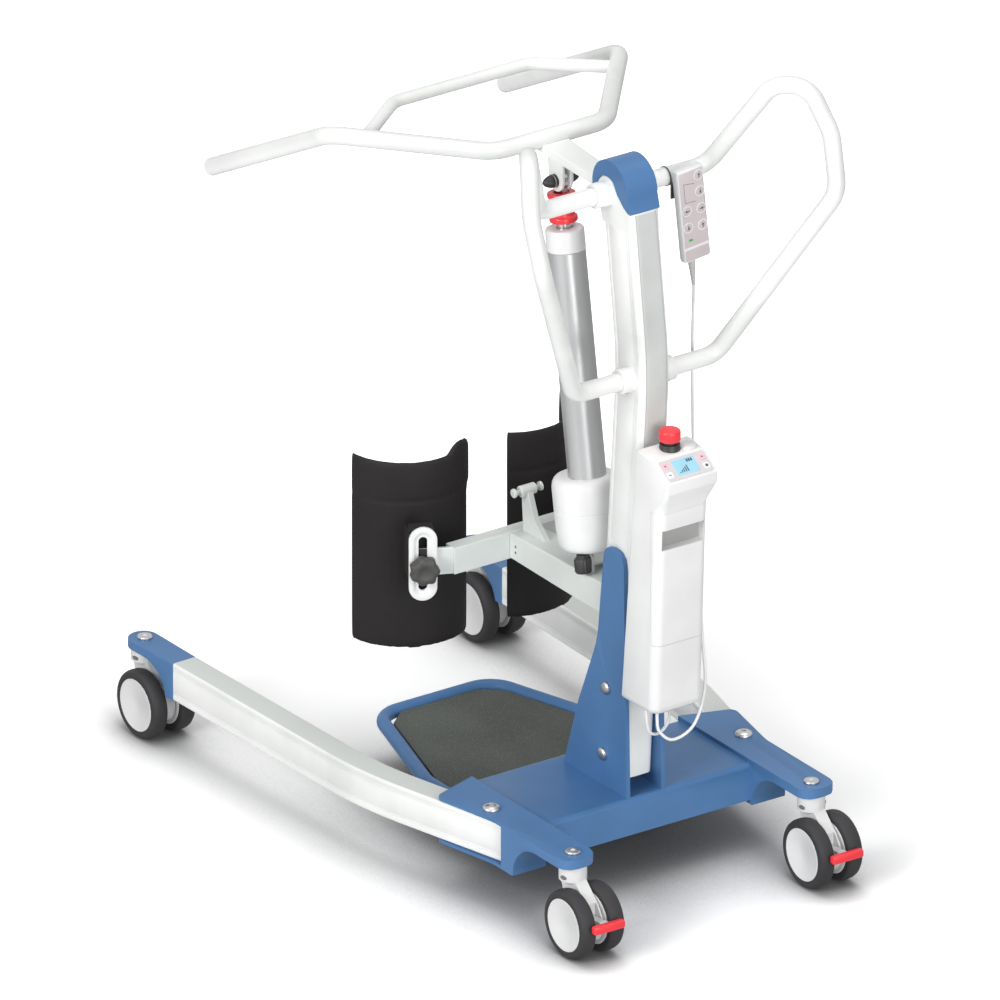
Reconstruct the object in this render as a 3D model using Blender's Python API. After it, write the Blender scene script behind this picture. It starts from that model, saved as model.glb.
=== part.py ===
"""Electric standing frame: a wheeled lift that raises a seated person to their feet.

The person stands on the footplate facing the mast (+Y), with the shins against the knee pads and
the hands on the patient arm. The carer stands behind the push handles, and +X is on the carer's
left. Units are metres, and the origin is on the floor in the middle of the outline.
"""

import math

import bmesh
import bpy
from mathutils import Matrix, Vector

# Lengths are measured ahead of the rear castor stems, towards the person (-Y)
REAR_STEM_Y = 0.4320
SIDES = {"left": 1, "right": -1}
CORNERS = ((1, 1), (-1, 1), (-1, -1), (1, -1))
GAP = 0.0003

# Base
BRACKET_INNER_X = 0.174
BRACKET_OUTER_X = 0.230
BRACKET_TOP = 0.141
BRACKET_BOTTOM = 0.0725
CHANNEL_TOP = 0.135
SHEET = 0.004
LEG_PIVOT = (0.213, 0.1805)
LEG_BEND = (0.267, 0.400)
LEG_FRONT_AHEAD = 0.836
LEG_TOE_OUT = math.radians(1.6)
LEG_WIDTH = 0.040
LEG_BOTTOM = 0.078
LEG_TOP = 0.135
NOSE_STEM = 0.095

# Castors
WHEEL_RADIUS = 0.050
CASTOR_TRAIL = 0.028
REAR_STEM_X = 0.201

# Mast
MAST_HALF_WIDTH = 0.025
MAST_HALF_DEPTH = 0.0345
PLATE_INNER_X = 0.0262
PLATE_OUTER_X = 0.0325
MAST_BOLTS = ((0.161, 0.2855), (0.169, 0.182))

# Lifting arm and actuator: (ahead, height) of the pivots
ARM_PIVOT = (0.172, 1.031)
ROD_PIN = (0.319, 0.991)
ACTUATOR_FOOT = (0.2366, 0.448)
ACTUATOR_SET_FORWARD = 0.003
TUBE_RADIUS = 0.013
CROSS_TUBE = (0.345, 1.046)
LOWER_BOSS = (0.117, 0.770)

# Knee support
PAD_CENTRE = (0.1075, 0.534)
PAD_TURN = math.radians(25)
PAD_HALF_CHORD = 0.0845
PAD_SAGITTA = 0.051
PLATE_HEIGHT = 0.406
KNOB_DROP = -0.005

# Handset, hanging askew on the right push handle: (x, height) of its middle and of its buttons
HANDSET_CENTRE = (-0.0955, 0.981)
HANDSET_SKEW = math.radians(5.9)
HANDSET_FACE = 0.1345
HANDSET_BACK = 0.1495
BUTTONS = {
    "arm_up": (-0.1019, 1.0395),
    "arm_down": (-0.1045, 1.0145),
    "legs_open": (-0.0830, 0.9885),
    "legs_close": (-0.1070, 0.9885),
    "slow": (-0.0855, 0.9630),
    "fast": (-0.1092, 0.9625),
}

# Routes of the two cords: (x, distance ahead, height)
HANDSET_ROUTE = (
    (-0.1015, 0.1445, 0.8700),
    (-0.1015, 0.1445, 0.8550),
    (-0.1005, 0.1460, 0.7700),
    (-0.0880, 0.1250, 0.6200),
    (-0.0700, 0.0900, 0.4800),
    (-0.0580, 0.0600, 0.3800),
    (-0.0530, 0.0460, 0.3100),
    (-0.0330, 0.0430, 0.2580),
    (0.0000, 0.0460, 0.2420),
    (0.0180, 0.0540, 0.2560),
    (0.0202, 0.0563, 0.2750),
    (0.0202, 0.0563, 0.2886),
)
ACTUATOR_ROUTE = (
    (0.0300, 0.0680, 0.2886),
    (0.0300, 0.0680, 0.2750),
    (0.0230, 0.0700, 0.2500),
    (0.0050, 0.0720, 0.2440),
    (-0.0200, 0.0850, 0.2540),
    (-0.0400, 0.1200, 0.2750),
    (-0.0440, 0.1550, 0.3400),
    (-0.0420, 0.2050, 0.4150),
    (-0.0330, 0.2370, 0.4420),
    (-0.0300, 0.2395, 0.4580),
)

# Materials: colour, roughness and metallic
PAINT_BLUE = (0.055, 0.135, 0.32), 0.4, 0.0
PAINT_WHITE = (0.82, 0.84, 0.82), 0.35, 0.0
PLASTIC_WHITE = (0.86, 0.87, 0.86), 0.45, 0.0
PLASTIC_GREY = (0.45, 0.46, 0.46), 0.5, 0.0
PLASTIC_BLACK = (0.02, 0.02, 0.02), 0.5, 0.0
PLASTIC_RED = (0.8, 0.03, 0.04), 0.4, 0.0
RUBBER_GREY = (0.04, 0.04, 0.043), 0.7, 0.0
PAD_BLACK = (0.015, 0.014, 0.014), 0.65, 0.0
MAT_GREY = (0.09, 0.1, 0.085), 0.9, 0.0
STEEL = (0.6, 0.6, 0.6), 0.3, 1.0


def ahead(distance):
    """The y of a point that lies this far ahead of the rear castor stems."""
    return REAR_STEM_Y - distance


def fillet(before, corner, after, radius, steps):
    """Points of an arc that rounds one corner of a line, in a plane or in space."""
    back = (before - corner).normalized()
    on = (after - corner).normalized()
    half = back.angle(on) / 2
    reach = radius / math.tan(half)
    centre = corner + (back + on).normalized() * (radius / math.sin(half))
    first = corner + back * reach - centre
    last = corner + on * reach - centre
    turn = math.pi - 2 * half
    weights = [(math.sin(turn * (1 - k / steps)), math.sin(turn * k / steps)) for k in range(steps + 1)]
    return [centre + (first * a + last * b) / math.sin(turn) for a, b in weights]


def outline(corners, steps=3):
    """A closed outline. A corner (u, v, radius) is rounded, and a corner (u, v) stays sharp."""
    flat = [Vector(corner[:2]) for corner in corners]
    points = []
    for i, corner in enumerate(corners):
        if len(corner) == 2:
            points.append(flat[i])
        else:
            points += fillet(flat[i - 1], flat[i], flat[(i + 1) % len(flat)], corner[2], steps)
    return points


def bent(corners, steps=4):
    """An open line in space. A corner (x, y, z, radius) is rounded, and a corner (x, y, z) stays."""
    spots = [Vector(corner[:3]) for corner in corners]
    points = []
    for i, corner in enumerate(corners):
        if len(corner) == 3:
            points.append(spots[i])
        else:
            points += fillet(spots[i - 1], spots[i], spots[i + 1], corner[3], steps)
    return points


def arc(u, v, radius, start, end, steps=8):
    """Points of an arc about (u, v), between two angles in degrees."""
    angles = [math.radians(start + (end - start) * k / steps) for k in range(steps + 1)]
    return [Vector((u + radius * math.cos(a), v + radius * math.sin(a))) for a in angles]


def solid(points, faces):
    """A closed solid from its points and faces, with every face turned outwards."""
    mesh = bpy.data.meshes.new("solid")
    mesh.from_pydata([tuple(point) for point in points], [], faces)
    shape = bmesh.new()
    shape.from_mesh(mesh)
    bmesh.ops.recalc_face_normals(shape, faces=shape.faces)
    shape.to_mesh(mesh)
    shape.free()
    item = bpy.data.objects.new("solid", mesh)
    bpy.context.scene.collection.objects.link(item)
    return item


def stacked(rings):
    """A solid from rings of equally many points, each joined to the next, with flat ends."""
    count = len(rings[0])
    faces = [tuple(range(count)), tuple(range((len(rings) - 1) * count, len(rings) * count))]
    for k in range(len(rings) - 1):
        for i in range(count):
            j = (i + 1) % count
            faces.append((k * count + i, k * count + j, (k + 1) * count + j, (k + 1) * count + i))
    return solid([point for ring in rings for point in ring], faces)


def prism(shape, axis, low, high):
    """An outline of (y, z), (x, z) or (x, y) points, carried from low to high along X, Y or Z."""
    place = {
        "X": lambda u, v, w: Vector((w, u, v)),
        "Y": lambda u, v, w: Vector((u, w, v)),
        "Z": lambda u, v, w: Vector((u, v, w)),
    }[axis]
    return stacked([[place(u, v, w) for u, v in shape] for w in (low, high)])


def box(x, y, z):
    """A block between two values of x, of y and of z."""
    return prism([(x[0], y[0]), (x[1], y[0]), (x[1], y[1]), (x[0], y[1])], "Z", z[0], z[1])


def turned(profile, base, direction, sides=16):
    """A solid turned about a line. The profile holds (radius, height) from one end to the other."""
    along = Vector(direction).normalized()
    across = along.orthogonal().normalized()
    up = along.cross(across)
    turns = [2 * math.pi * k / sides for k in range(sides)]
    ring = [across * math.cos(turn) + up * math.sin(turn) for turn in turns]
    spots = [(Vector(base) + along * height, radius) for radius, height in profile]
    return stacked([[spot + spoke * radius for spoke in ring] for spot, radius in spots])


def rod(start, end, radius, sides=16):
    """A round bar between two points."""
    line = Vector(end) - Vector(start)
    return turned([(radius, 0), (radius, line.length)], start, line, sides)


def sweep(path, section, across=None):
    """A solid from a section of (across, up) points, carried square to a path."""
    spots = [Vector(spot) for spot in path]
    runs = [(b - a).normalized() for a, b in zip(spots, spots[1:])]
    ways = [runs[0]] + [(a + b).normalized() for a, b in zip(runs, runs[1:])] + [runs[-1]]
    side = Vector(across) if across else ways[0].orthogonal()
    rings = []
    for spot, way in zip(spots, ways):
        side = (side - way * side.dot(way)).normalized()
        up = way.cross(side)
        rings.append([spot + side * u + up * v for u, v in section])
    return stacked(rings)


def circle(radius, sides):
    """A round section."""
    return [p.to_tuple() for p in arc(0, 0, radius, 0, 360 * (sides - 1) / sides, sides - 1)]


def combined(first, operation, others):
    """The first solid, with the others joined to it, cut from it or used to trim it."""
    for other in others:
        step = first.modifiers.new("combine", "BOOLEAN")
        step.operation = operation
        step.object = other
        graph = bpy.context.evaluated_depsgraph_get()
        mesh = bpy.data.meshes.new_from_object(first.evaluated_get(graph))
        first.modifiers.clear()
        first.data = mesh
        bpy.data.objects.remove(other)
    return first


def join(first, *others):
    return combined(first, "UNION", others)


def cut(first, *others):
    return combined(first, "DIFFERENCE", others)


def trim(first, *others):
    return combined(first, "INTERSECT", others)


def softened(item, width, segments=2):
    """The solid with its sharp edges rounded."""
    bevel = item.modifiers.new("edges", "BEVEL")
    bevel.width = width
    bevel.segments = segments
    bevel.limit_method = "ANGLE"
    bevel.angle_limit = math.radians(50)
    graph = bpy.context.evaluated_depsgraph_get()
    item.data = bpy.data.meshes.new_from_object(item.evaluated_get(graph))
    item.modifiers.clear()
    return item


def moved(item, matrix):
    item.data.transform(matrix)
    return item


def place_of(item):
    """Where an axis empty is in the world."""
    return item.location + (place_of(item.parent) if item.parent else Vector())


def axis_at(name, place, carrier=None):
    """An empty on a joint's axis. The pieces that the joint moves hang on it."""
    empty = bpy.data.objects.new(name + "_axis", None)
    bpy.context.scene.collection.objects.link(empty)
    empty.parent = carrier
    empty.location = Vector(place) - (place_of(carrier) if carrier else Vector())
    return empty


def piece(name, item, finish, axis=None):
    """Names a finished solid, gives it its material and hangs it on its joint's axis."""
    colour, roughness, metallic = finish
    look = bpy.data.materials.new(name)
    look.use_nodes = True
    surface = look.node_tree.nodes["Principled BSDF"]
    surface.inputs["Base Color"].default_value = (*colour, 1)
    surface.inputs["Roughness"].default_value = roughness
    surface.inputs["Metallic"].default_value = metallic
    item.name = item.data.name = name
    item.data.materials.clear()
    item.data.materials.append(look)
    item.data.shade_smooth()
    item.data.set_sharp_from_angle(angle=math.radians(35))
    if axis:
        item.data.transform(Matrix.Translation(-place_of(axis)))
        item.parent = axis
    return item


def clear_scene():
    for item in list(bpy.data.objects):
        bpy.data.objects.remove(item)


def bracket(side):
    """A corner bracket of folded plate: a pocket for the leg, and behind it a thin arched arm."""
    leg_x, leg_y = side * LEG_PIVOT[0], ahead(LEG_PIVOT[1])
    plan = outline(
        [
            (side * BRACKET_INNER_X, ahead(0.284)),
            (side * 0.2525, ahead(0.2585), 0.012),
            (side * BRACKET_OUTER_X, ahead(0.150), 0.08),
            (side * BRACKET_OUTER_X, ahead(-0.024), 0.020),
            (side * BRACKET_INNER_X, ahead(-0.024), 0.020),
        ]
    )
    pocket = box(
        (side * (BRACKET_INNER_X + SHEET), side * 0.30),
        (ahead(0.30), ahead(0.133)),
        (BRACKET_BOTTOM + 0.0045, BRACKET_TOP - 0.0045),
    )
    arch = arc(ahead(0.050), BRACKET_BOTTOM, 0.0545, 180, 90)
    arch += [(ahead(-0.06), 0.127), (ahead(-0.06), 0.05), (ahead(0.1045), 0.05)]
    return cut(
        prism(plan, "Z", BRACKET_BOTTOM, BRACKET_TOP),
        pocket,
        prism(arch, "X", side * 0.16, side * 0.26),
        rod((side * REAR_STEM_X, ahead(0), 0.10), (side * REAR_STEM_X, ahead(0), 0.16), 0.0063),
        rod((leg_x, leg_y, 0.06), (leg_x, leg_y, 0.16), 0.0063),
    )


def base():
    """The welded base: a cross channel, two corner brackets and the plates that hold the mast."""
    channel = prism(
        outline(
            [
                (ahead(0.284), BRACKET_BOTTOM),
                (ahead(0.284), CHANNEL_TOP, 0.006),
                (ahead(0.108), CHANNEL_TOP, 0.006),
                (ahead(0.108), 0.0795),
                (ahead(0.108 + SHEET), 0.0795),
                (ahead(0.108 + SHEET), CHANNEL_TOP - SHEET),
                (ahead(0.284 - SHEET), CHANNEL_TOP - SHEET),
                (ahead(0.284 - SHEET), BRACKET_BOTTOM),
            ]
        ),
        "X",
        -0.176,
        0.176,
    )
    plate = outline(
        [
            (ahead(0.112), CHANNEL_TOP - 0.002),
            (ahead(0.1205), 0.503, 0.02),
            (ahead(0.167), 0.503, 0.02),
            (ahead(0.184), 0.350, 0.15),
            (ahead(0.230), 0.240, 0.05),
            (ahead(0.265), CHANNEL_TOP - 0.002),
        ]
    )
    plates = [prism(plate, "X", side * PLATE_INNER_X, side * PLATE_OUTER_X) for side in SIDES.values()]
    welded = join(channel, bracket(1), bracket(-1), *plates)
    bolts = [rod((-0.05, ahead(d), z), (0.05, ahead(d), z), 0.0054) for d, z in MAST_BOLTS]
    rods = rod((-0.19, ahead(0.160), 0.106), (0.19, ahead(0.160), 0.106), 0.0066)
    piece("base_frame", cut(welded, *bolts, rods), PAINT_BLUE)

    ring = bent(
        [
            (0.163, ahead(0.284) - GAP, 0.081),
            (0.163, ahead(0.410), 0.081, 0.08),
            (0.096, ahead(0.627), 0.081, 0.045),
            (-0.096, ahead(0.627), 0.081, 0.045),
            (-0.163, ahead(0.410), 0.081, 0.08),
            (-0.163, ahead(0.284) - GAP, 0.081),
        ]
    )
    piece("footplate_ring", sweep(ring, circle(0.010, 12)), PAINT_BLUE)
    half = [(0.1505, ahead(0.2848)), (0.1505, ahead(0.405)), (0.0955, ahead(0.590)), (0.066, ahead(0.6155))]
    mat = half + [(-x, y) for x, y in reversed(half)]
    piece("footplate_mat", prism(mat, "Z", 0.078, 0.084), MAT_GREY)

    for d, z in MAST_BOLTS:
        profile = [(0.004, -0.0385), (0.008, -0.0365), (0.0095, -0.0328), (0.005, -0.0328)]
        profile += [(radius, -height) for radius, height in reversed(profile)]
        name = "mast_bolt_upper" if z > 0.2 else "mast_bolt_lower"
        piece(name, turned(profile, (0, ahead(d), z), (1, 0, 0), 16), STEEL)


def leg(name, side):
    """One leg of white extrusion with its blue nose, turning about the bolt in the bracket."""
    pivot = Vector((side * LEG_PIVOT[0], ahead(LEG_PIVOT[1]), 0))
    axis = axis_at("leg_" + name, pivot)
    middle = (LEG_BOTTOM + LEG_TOP) / 2
    bend = Vector((side * LEG_BEND[0], ahead(LEG_BEND[1]), middle))
    start = Vector((pivot.x, pivot.y, middle))
    rear = start + (start - bend).normalized() * LEG_WIDTH
    reach = LEG_FRONT_AHEAD - LEG_BEND[1]
    front = bend + Vector((side * reach * math.tan(LEG_TOE_OUT), -reach, 0))
    high, wide = (LEG_TOP - LEG_BOTTOM) / 2, LEG_WIDTH / 2
    section = outline([(high * u, wide * v, 0.003) for u, v in CORNERS], 2)
    beam = sweep(bent([rear, (*bend, 0.7), front]), section, across=(0, 0, 1))
    hole = rod((pivot.x, pivot.y, 0.05), (pivot.x, pivot.y, 0.16), 0.0064)
    piece("leg_" + name, cut(beam, hole), PAINT_WHITE, axis)

    profile = [(-GAP, 0.077)] + [(-p.x, p.y) for p in arc(0.070, 0.066, 0.054, 168, 90)]
    profile += [(-0.120, 0.120), (-0.120, 0.134), (-GAP, 0.134)]
    plan = outline([(-0.0205, 0), (0.0205, 0), (0.0225, -0.120, 0.022), (-0.0225, -0.120, 0.022)], 6)
    nose = trim(prism(profile, "X", -0.03, 0.03), prism(plan, "Z", 0.05, 0.15))
    nose = cut(nose, rod((0, -NOSE_STEM, 0.10), (0, -NOSE_STEM, 0.16), 0.0063))
    turn = Matrix.Translation((front.x, front.y, 0)) @ Matrix.Rotation(side * LEG_TOE_OUT, 4, "Z")
    piece("leg_nose_" + name, moved(nose, turn), PAINT_BLUE, axis)

    bolt = [(0.010, 0.065), (0.010, 0.0722), (0.006, 0.0722), (0.006, 0.1413)]
    bolt += [(0.0125, 0.1413), (0.0125, 0.1435), (0.009, 0.1465), (0.003, 0.1478)]
    piece("leg_pivot_bolt_" + name, turned(bolt, pivot, (0, 0, 1), 16), STEEL)
    return axis, turn @ Vector((0, -NOSE_STEM, 0))


def castor(name, stem, arm_bottom, arm_top, carrier=None, braked=False):
    """A twin wheel castor. Its fork hangs on the stem, and the wheels trail behind it."""
    x, y = stem.x, stem.y
    swivel = axis_at("castor_" + name, (x, y, 0), carrier)
    axle_y = y + CASTOR_TRAIL
    housing = [(0.017, 0.1008), (0.020, 0.1030)]
    housing += [(0.020, arm_bottom - 0.003), (0.018, arm_bottom - GAP)]
    stem_bolt = [(0.006, 0.10), (0.006, arm_top + 0.0005), (0.0105, arm_top + 0.0005)]
    stem_bolt += [(0.0105, arm_top + 0.0025), (0.007, arm_top + 0.0038)]
    neck = [(y - 0.018, 0.106), (y + 0.018, 0.106), (y + 0.050, 0.076)]
    neck += [(y + 0.028, 0.040), (y - 0.002, 0.060)]
    fork = join(
        turned(housing, (x, y, 0), (0, 0, 1)),
        turned(stem_bolt, (x, y, 0), (0, 0, 1), 12),
        prism(neck, "X", x - 0.0095, x + 0.0095),
        rod((x - 0.0095, axle_y, WHEEL_RADIUS), (x + 0.0095, axle_y, WHEEL_RADIUS), 0.033),
    )
    fork = cut(fork, rod((x - 0.02, axle_y, WHEEL_RADIUS), (x + 0.02, axle_y, WHEEL_RADIUS), 0.0045, 12))
    if braked:
        hinge = Vector((x, y + 0.052, 0.058))
        fork = cut(fork, box((x - 0.0068, x + 0.0068), (y + 0.044, y + 0.07), (0.04, 0.08)))
        arm = [(y + 0.047, 0.0545), (y + 0.082, 0.0570), (y + 0.082, 0.0640), (y + 0.047, 0.0615)]
        pedal = join(
            prism(arm, "X", x - 0.006, x + 0.006),
            softened(box((x - 0.0255, x + 0.0255), (y + 0.0802, y + 0.0920), (0.0548, 0.0668)), 0.003),
        )
        piece("brake_pedal_" + name[5:], pedal, PLASTIC_RED, axis_at("brake_" + name, hinge, swivel))
    piece("castor_fork_" + name, fork, PLASTIC_GREY, swivel)

    spin = axis_at("wheel_" + name, (x, axle_y, WHEEL_RADIUS), swivel)
    tyre = [(0.012, 0.0112), (0.046, 0.0112), (WHEEL_RADIUS, 0.0155), (WHEEL_RADIUS, 0.0315)]
    tyre += [(0.046, 0.036), (0.012, 0.036)]
    halves = [turned(tyre, (x, axle_y, WHEEL_RADIUS), (side, 0, 0), 24) for side in SIDES.values()]
    axle = rod((x - 0.014, axle_y, WHEEL_RADIUS), (x + 0.014, axle_y, WHEEL_RADIUS), 0.004, 12)
    piece("castor_wheels_" + name, join(axle, *halves), RUBBER_GREY, spin)


def running_gear():
    for name, side in SIDES.items():
        axis, nose_stem = leg(name, side)
        castor("front_" + name, nose_stem, 0.120, 0.134, carrier=axis)
        castor("rear_" + name, Vector((side * REAR_STEM_X, ahead(0), 0)), 0.127, BRACKET_TOP, braked=True)


def leg_drive():
    """The motor inside the channel that spreads the legs, with one push rod to each leg."""
    y, z = ahead(0.160), 0.106
    body = [(0.018, -0.062), (0.022, -0.058), (0.022, 0.058), (0.018, 0.062)]
    motor = join(
        turned(body, (0, y, z), (1, 0, 0)),
        box((-0.02, 0.02), (y - 0.015, y + 0.015), (z, CHANNEL_TOP - SHEET - GAP)),
    )
    for side in SIDES.values():
        motor = cut(motor, rod((side * 0.030, y, z), (side * 0.070, y, z), 0.0063, 16))
    piece("leg_drive_motor", motor, PLASTIC_GREY)
    for name, side in SIDES.items():
        axis = axis_at("leg_drive_" + name, (side * 0.036, y, z))
        push_rod = rod((side * 0.036, y, z), (side * 0.185, y, z), 0.006)
        piece("leg_drive_rod_" + name, push_rod, STEEL, axis)


def mast_top():
    """The (y, z) outline of the two lugs that rise from the mast and carry the arm's pivot."""
    y, z = ahead(ARM_PIVOT[0]), ARM_PIVOT[1]
    return [(ahead(0.184), 0.985)] + arc(y, z, 0.0235, 200, 55) + [
        (ahead(0.149), 1.036),
        (ahead(0.134), 1.0225),
        (ahead(0.119), 1.0145),
        (ahead(0.118), 0.985),
    ]


def mast():
    """The bent mast extrusion, its lugs, the arm's pivot and the bosses of the push handles."""
    line = bent(
        [
            (0, ahead(0.164), 0.158),
            (0, ahead(0.119), 0.789, 0.5),
            (0, ahead(0.1488), 1.012),
        ]
    )
    wide, deep = MAST_HALF_WIDTH, MAST_HALF_DEPTH
    section = [(wide, deep, 0.012), (-wide, deep, 0.012), (-wide, -deep, 0.005), (wide, -deep, 0.005)]
    y, z = ahead(ARM_PIVOT[0]), ARM_PIVOT[1]
    low_y, low_z = ahead(LOWER_BOSS[0]), LOWER_BOSS[1]
    parts = [rod((-0.02, y, z), (0.02, y, z), 0.010, 12)]
    parts.append(rod((-0.045, low_y, low_z), (0.045, low_y, low_z), 0.018, 20))
    holes = [rod((-0.05, ahead(d), h), (0.05, ahead(d), h), 0.0053, 16) for d, h in MAST_BOLTS]
    for side in SIDES.values():
        parts.append(prism(mast_top(), "X", side * 0.0185, side * wide))
        parts.append(rod((side * 0.0245, y, z), (side * 0.050, y, z), 0.018, 20))
        for mouth_y, mouth_z, start in ((y, z, 0.038), (low_y, low_z, 0.033)):
            mouth = (side * start, mouth_y, mouth_z), (side * 0.060, mouth_y, mouth_z)
            holes.append(rod(*mouth, TUBE_RADIUS + GAP, 20))
    extrusion = sweep(line, outline(section), across=(1, 0, 0))
    piece("mast", cut(join(extrusion, *parts), *holes), PAINT_WHITE)

    dome = (ahead(0.165), 1.038)
    shell = [(ahead(0.116), 1.0165)] + arc(*dome, 0.043, 0, 200, 16)
    hollow = [(ahead(0.1185), 1.010)] + arc(*dome, 0.0405, 0, 200, 16) + [(ahead(0.206), 1.010)]
    centre = Vector((ahead(0.165), 1.030))
    around = [centre + (Vector(p) - centre) * 1.03 for p in mast_top()]
    cap = cut(prism(shell, "X", -wide, wide), prism(hollow, "X", -0.0225, 0.0225))
    for side in SIDES.values():
        cap = cut(cap, prism(around, "X", side * 0.0178, side * 0.030))
    cap = cut(cap, box((-0.0222, 0.0222), (ahead(0.25), ahead(0.175)), (0.99, 1.0715)))
    piece("mast_cap", cap, PAINT_BLUE)

    for name, side in SIDES.items():
        corners = [
            (0.0385, -0.172, 1.031),
            (0.141, -0.172, 1.031, 0.030),
            (0.205, -0.104, 1.1605, 0.045),
            (0.234, -0.0595, 1.1675, 0.036),
            (0.2515, -0.029, 1.1025, 0.080),
            (0.247, -0.007, 1.023, 0.050),
            (0.1185, -0.117, 0.770, 0.030),
            (0.0335, -0.117, 0.770),
        ]
        line = bent([(side * x, REAR_STEM_Y + y, *rest) for x, y, *rest in corners])
        piece("push_handle_" + name, sweep(line, circle(TUBE_RADIUS, 12)), PAINT_WHITE)


def lifting_arm():
    """The flat lifting arm with its fork ears, and the bent tube with the rail that the person holds."""
    y, z = ahead(ARM_PIVOT[0]), ARM_PIVOT[1]
    axis = axis_at("lift_arm", (0, y, z))
    side_view = [(ahead(0.178), 1.0225), (ahead(0.350), 1.030)]
    side_view += [(ahead(0.350), 1.043), (ahead(0.178), 1.0355)]
    top_view = [(-0.018, ahead(0.17)), (-0.018, ahead(0.210))]
    top_view += [(-0.0215, ahead(0.330)), (-0.0215, ahead(0.36))]
    top_view += [(-x, d) for x, d in reversed(top_view)]
    bar = trim(prism(side_view, "X", -0.03, 0.03), prism(top_view, "Z", 0.99, 1.08))
    pin_y, pin_z = ahead(ROD_PIN[0]), ROD_PIN[1]
    ear = [(pin_y + 0.017, 1.032), (pin_y - 0.022, 1.032)] + arc(pin_y, pin_z, 0.0165, 190, 350)
    ears = [prism(ear, "X", side * 0.005, side * 0.0095) for side in SIDES.values()]
    arm = join(rod((-0.018, y, z), (0.018, y, z), 0.021, 20), bar, *ears)
    tube_y, tube_z = ahead(CROSS_TUBE[0]), CROSS_TUBE[1]
    arm = cut(
        arm,
        rod((-0.03, y, z), (0.03, y, z), 0.0104),
        rod((-0.04, tube_y, tube_z), (0.04, tube_y, tube_z), TUBE_RADIUS + GAP + 0.0002, 24),
        rod((-0.02, pin_y, pin_z), (0.02, pin_y, pin_z), 0.0038, 12),
    )
    piece("lift_arm", arm, PAINT_WHITE, axis)

    half = [(0.247, ahead(0.812), 0.890), (0.245, ahead(0.529), 1.043, 0.055)]
    half.append((0.094, tube_y, tube_z, 0.050))
    line = bent(half + [(-x, *rest) for x, *rest in reversed(half)])
    piece("patient_arm", sweep(line, circle(TUBE_RADIUS, 12)), PAINT_WHITE, axis)

    half = [(0.205, ahead(0.480), 1.0437), (0.114, ahead(0.560), 1.048, 0.035)]
    rail = sweep(bent(half + [(-x, *rest) for x, *rest in reversed(half)]), circle(0.0093, 10))
    for side in SIDES.values():
        run = [Vector((side * 0.094, tube_y, tube_z)), Vector((side * 0.245, ahead(0.529), 1.043))]
        rail = cut(rail, rod(*run, TUBE_RADIUS + GAP + 0.0002, 24))
    piece("hand_rail", rail, PAINT_WHITE, axis)

    pin = [(0.003, -0.0296), (0.004, -0.029), (0.0092, -0.015), (0.0095, -0.0145)]
    pin += [(0.0095, -0.0098), (0.0035, -0.0098)]
    pin += [(radius, -height) for radius, height in reversed(pin)]
    piece("actuator_pin", turned(pin, (0, pin_y, pin_z), (1, 0, 0), 16), PLASTIC_BLACK, axis)


def actuator():
    """The lifting actuator, drawn upright over its foot pivot and then leant forward on it."""
    foot = Vector((0, ahead(ACTUATOR_FOOT[0]), ACTUATOR_FOOT[1]))
    reach = Vector((0, ahead(ROD_PIN[0] + ACTUATOR_SET_FORWARD), ROD_PIN[1])) - foot
    lean = math.atan2(-reach.y, reach.z)
    tilt = Matrix.Translation(foot) @ Matrix.Rotation(lean, 4, "X")
    tilt_axis = axis_at("actuator", foot)
    up = (0, 0, 1)

    housing = [(0.034, 0.0125), (0.041, 0.016), (0.0445, 0.024), (0.046, 0.044), (0.0465, 0.105)]
    housing += [(0.0435, 0.1155), (0.036, 0.1200)]
    eye = [(0.009, 0.03), (-0.009, 0.03)] + arc(0, 0, 0.012, 180, 360)
    motor = join(turned(housing, (0, -0.008, 0), up, 24), prism(eye, "X", -0.009, 0.009))
    motor = cut(motor, rod((-0.02, 0, 0), (0.02, 0, 0), 0.0054, 12))
    piece("actuator_motor", moved(motor, tilt), PLASTIC_WHITE, tilt_axis)

    gland = [(0.010, -0.014), (0.012, -0.011), (0.012, 0.006), (0.008, 0.0122)]
    gland = turned(gland, (0.028, 0.011, 0), up, 16)
    piece("actuator_knob", moved(gland, tilt), PLASTIC_BLACK, tilt_axis)

    tube = [(0.027, 0.1203), (0.027, 0.4465), (0.0275, 0.4470), (0.0275, 0.476), (0.025, 0.4794)]
    tube = cut(turned(tube, (0, 0, 0), up, 20), rod((0, 0, 0.19), (0, 0, 0.50), 0.0118))
    piece("actuator_tube", moved(tube, tilt), STEEL, tilt_axis)

    length = reach.length
    rod_axis = axis_at("actuator_rod", tilt @ Vector((0, 0, 0.20)), tilt_axis)
    shaft = join(
        rod((0, 0, 0.20), (0, 0, length - 0.0245), 0.011),
        box((-0.0045, 0.0045), (-0.0100, 0.0100), (0.500, length - 0.010)),
        rod((-0.0045, 0, length), (0.0045, 0, length), 0.016),
    )
    shaft = cut(shaft, rod((-0.02, 0, length), (0.02, 0, length), 0.0112))
    piece("actuator_rod", moved(shaft, tilt), STEEL, rod_axis)

    spool = [(0.017, 0.4875), (0.020, 0.489), (0.020, 0.495), (0.0165, 0.497), (0.0165, 0.521)]
    spool += [(0.020, 0.523), (0.020, 0.529), (0.017, 0.5303)]
    spool = cut(turned(spool, (0, 0, 0), up), rod((0, 0, 0.48), (0, 0, 0.54), 0.0113))
    ring_axis = axis_at("release_ring", tilt @ Vector((0, 0, 0.509)), rod_axis)
    piece("release_ring", moved(spool, tilt), PLASTIC_RED, ring_axis)


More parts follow.
